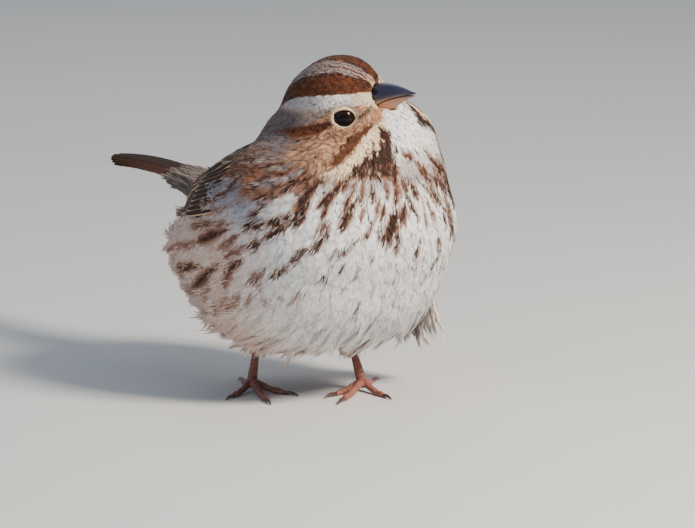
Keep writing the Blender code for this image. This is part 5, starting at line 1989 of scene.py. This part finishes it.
class MakeBill(bpy.types.Operator):
    """Makes both mandibles of the bill"""

    bl_idname = "sparrow.make_bill"
    bl_label = "Bill"

    def execute(self, context):
        build_bill()
        return {"FINISHED"}


class MakeLegs(bpy.types.Operator):
    """Makes the scaly legs and the claws"""

    bl_idname = "sparrow.make_legs"
    bl_label = "Legs and claws"

    def execute(self, context):
        skin, horn = leg_finish(), claw_finish()
        for side in SIDES:
            build_leg(side, skin)
            build_claws(side, horn)
        return {"FINISHED"}


def stand(name, data, aim, turn, height, far):
    """Stands a light or the camera off from its aim, by degrees round it and above it."""
    made = bpy.data.objects.new(name, data)
    bpy.context.scene.collection.objects.link(made)
    a, e = radians(turn), radians(height)
    way = Vector((sin(a) * cos(e), -cos(a) * cos(e), sin(e)))
    made.location = aim + way * far
    made.rotation_euler = (-way).to_track_quat("-Z", "Y").to_euler()
    return made


LIGHTS_AIM = Vector((0, -0.02, 0.045))
CAMERA_AIM = Vector((12.0, -27.3, 32.7)) * MM
CAMERA_STAND = (-35.5, 10, 1.5)  # turn and height in degrees, and distance
AMBIENT_COLOUR, AMBIENT_STRENGTH = (0.64, 0.79, 1.0, 1), 0.36


class MakeStage(bpy.types.Operator):
    """Makes the floor, lights and camera"""

    bl_idname = "sparrow.make_stage"
    bl_label = "Stage"

    def execute(self, context):
        settings = context.scene.sparrow_stage
        self.floor(settings)
        self.lights(settings)
        self.camera(settings)
        return {"FINISHED"}

    def floor(self, settings):
        select_nothing()
        bpy.ops.mesh.primitive_circle_add(vertices=96, radius=6, fill_type="NGON")
        floor = bpy.context.active_object
        floor.name = "floor"
        finish = Finish("floor_paper", Roughness=0.9, Specular_IOR_Level=0.2)
        pale = tuple(settings.floor)
        finish.feed(Base_Color=finish.blend(finish.noise(9, 2), pale, [c * 0.96 for c in pale]))
        floor.data.materials.append(finish.material)

    def lights(self, settings):
        key, fill = settings.key_power, settings.fill_power
        # Name, turn, height, distance, size, power and colour
        for name, turn, height, far, size, power, colour in (
            ("key", 18, 38, 0.8, 0.2, key, (1.0, 0.90, 0.77)),
            ("fill", -95, 24, 0.9, 0.8, fill, (0.74, 0.86, 1.0)),
            ("rim", 150, 48, 0.9, 0.5, fill * 1.1, (1.0, 0.97, 0.92)),
        ):
            data = bpy.data.lights.new(name, "AREA")
            data.energy, data.size, data.color = power, size, colour
            stand(name, data, LIGHTS_AIM, turn, height, far)
        world = bpy.data.worlds.new("studio")
        world.use_nodes = True
        ambient = world.node_tree.nodes["Background"]
        ambient.inputs["Color"].default_value = AMBIENT_COLOUR
        ambient.inputs["Strength"].default_value = AMBIENT_STRENGTH
        bpy.context.scene.world = world

    def camera(self, settings):
        data = bpy.data.cameras.new("camera")
        data.lens, data.sensor_width = settings.lens, 36.0
        bpy.context.scene.camera = stand("camera", data, CAMERA_AIM, *CAMERA_STAND)


class SparrowPanel(bpy.types.Panel):
    """Lists the steps of the bird and the sizes and colours that can be changed"""

    bl_idname = "VIEW3D_PT_sparrow"
    bl_label = "Song sparrow"
    bl_space_type = "VIEW_3D"
    bl_region_type = "UI"
    bl_category = "Sparrow"

    def draw(self, context):
        for made in STEPS:
            self.layout.operator(made.bl_idname)
        for group in (plumage(), bare_parts(), context.scene.sparrow_stage):
            box = self.layout.box()
            for key in group.__annotations__:
                box.prop(group, key)


STEPS = (MakeSkin, MakeCoat, MakeWings, MakeTail, MakeEyes, MakeBill, MakeLegs, MakeStage)
GROUPS = {
    "sparrow_plumage": PlumageSettings,
    "sparrow_bare_parts": BarePartSettings,
    "sparrow_stage": StageSettings,
}


def register():
    for kind in (*GROUPS.values(), *STEPS, SparrowPanel):
        bpy.utils.register_class(kind)
    for name, kind in GROUPS.items():
        setattr(bpy.types.Scene, name, bpy.props.PointerProperty(type=kind))


def unregister():
    for name in GROUPS:
        delattr(bpy.types.Scene, name)
    for kind in (*GROUPS.values(), *STEPS, SparrowPanel):
        bpy.utils.unregister_class(kind)


def corners(box):
    """A box as plain numbers."""
    return [[float(c) for c in corner] for corner in box]


def main():
    register()
    for step in STEPS:
        getattr(bpy.ops.sparrow, step.bl_idname.split(".")[1])()


if __name__ == "__main__":
    main()
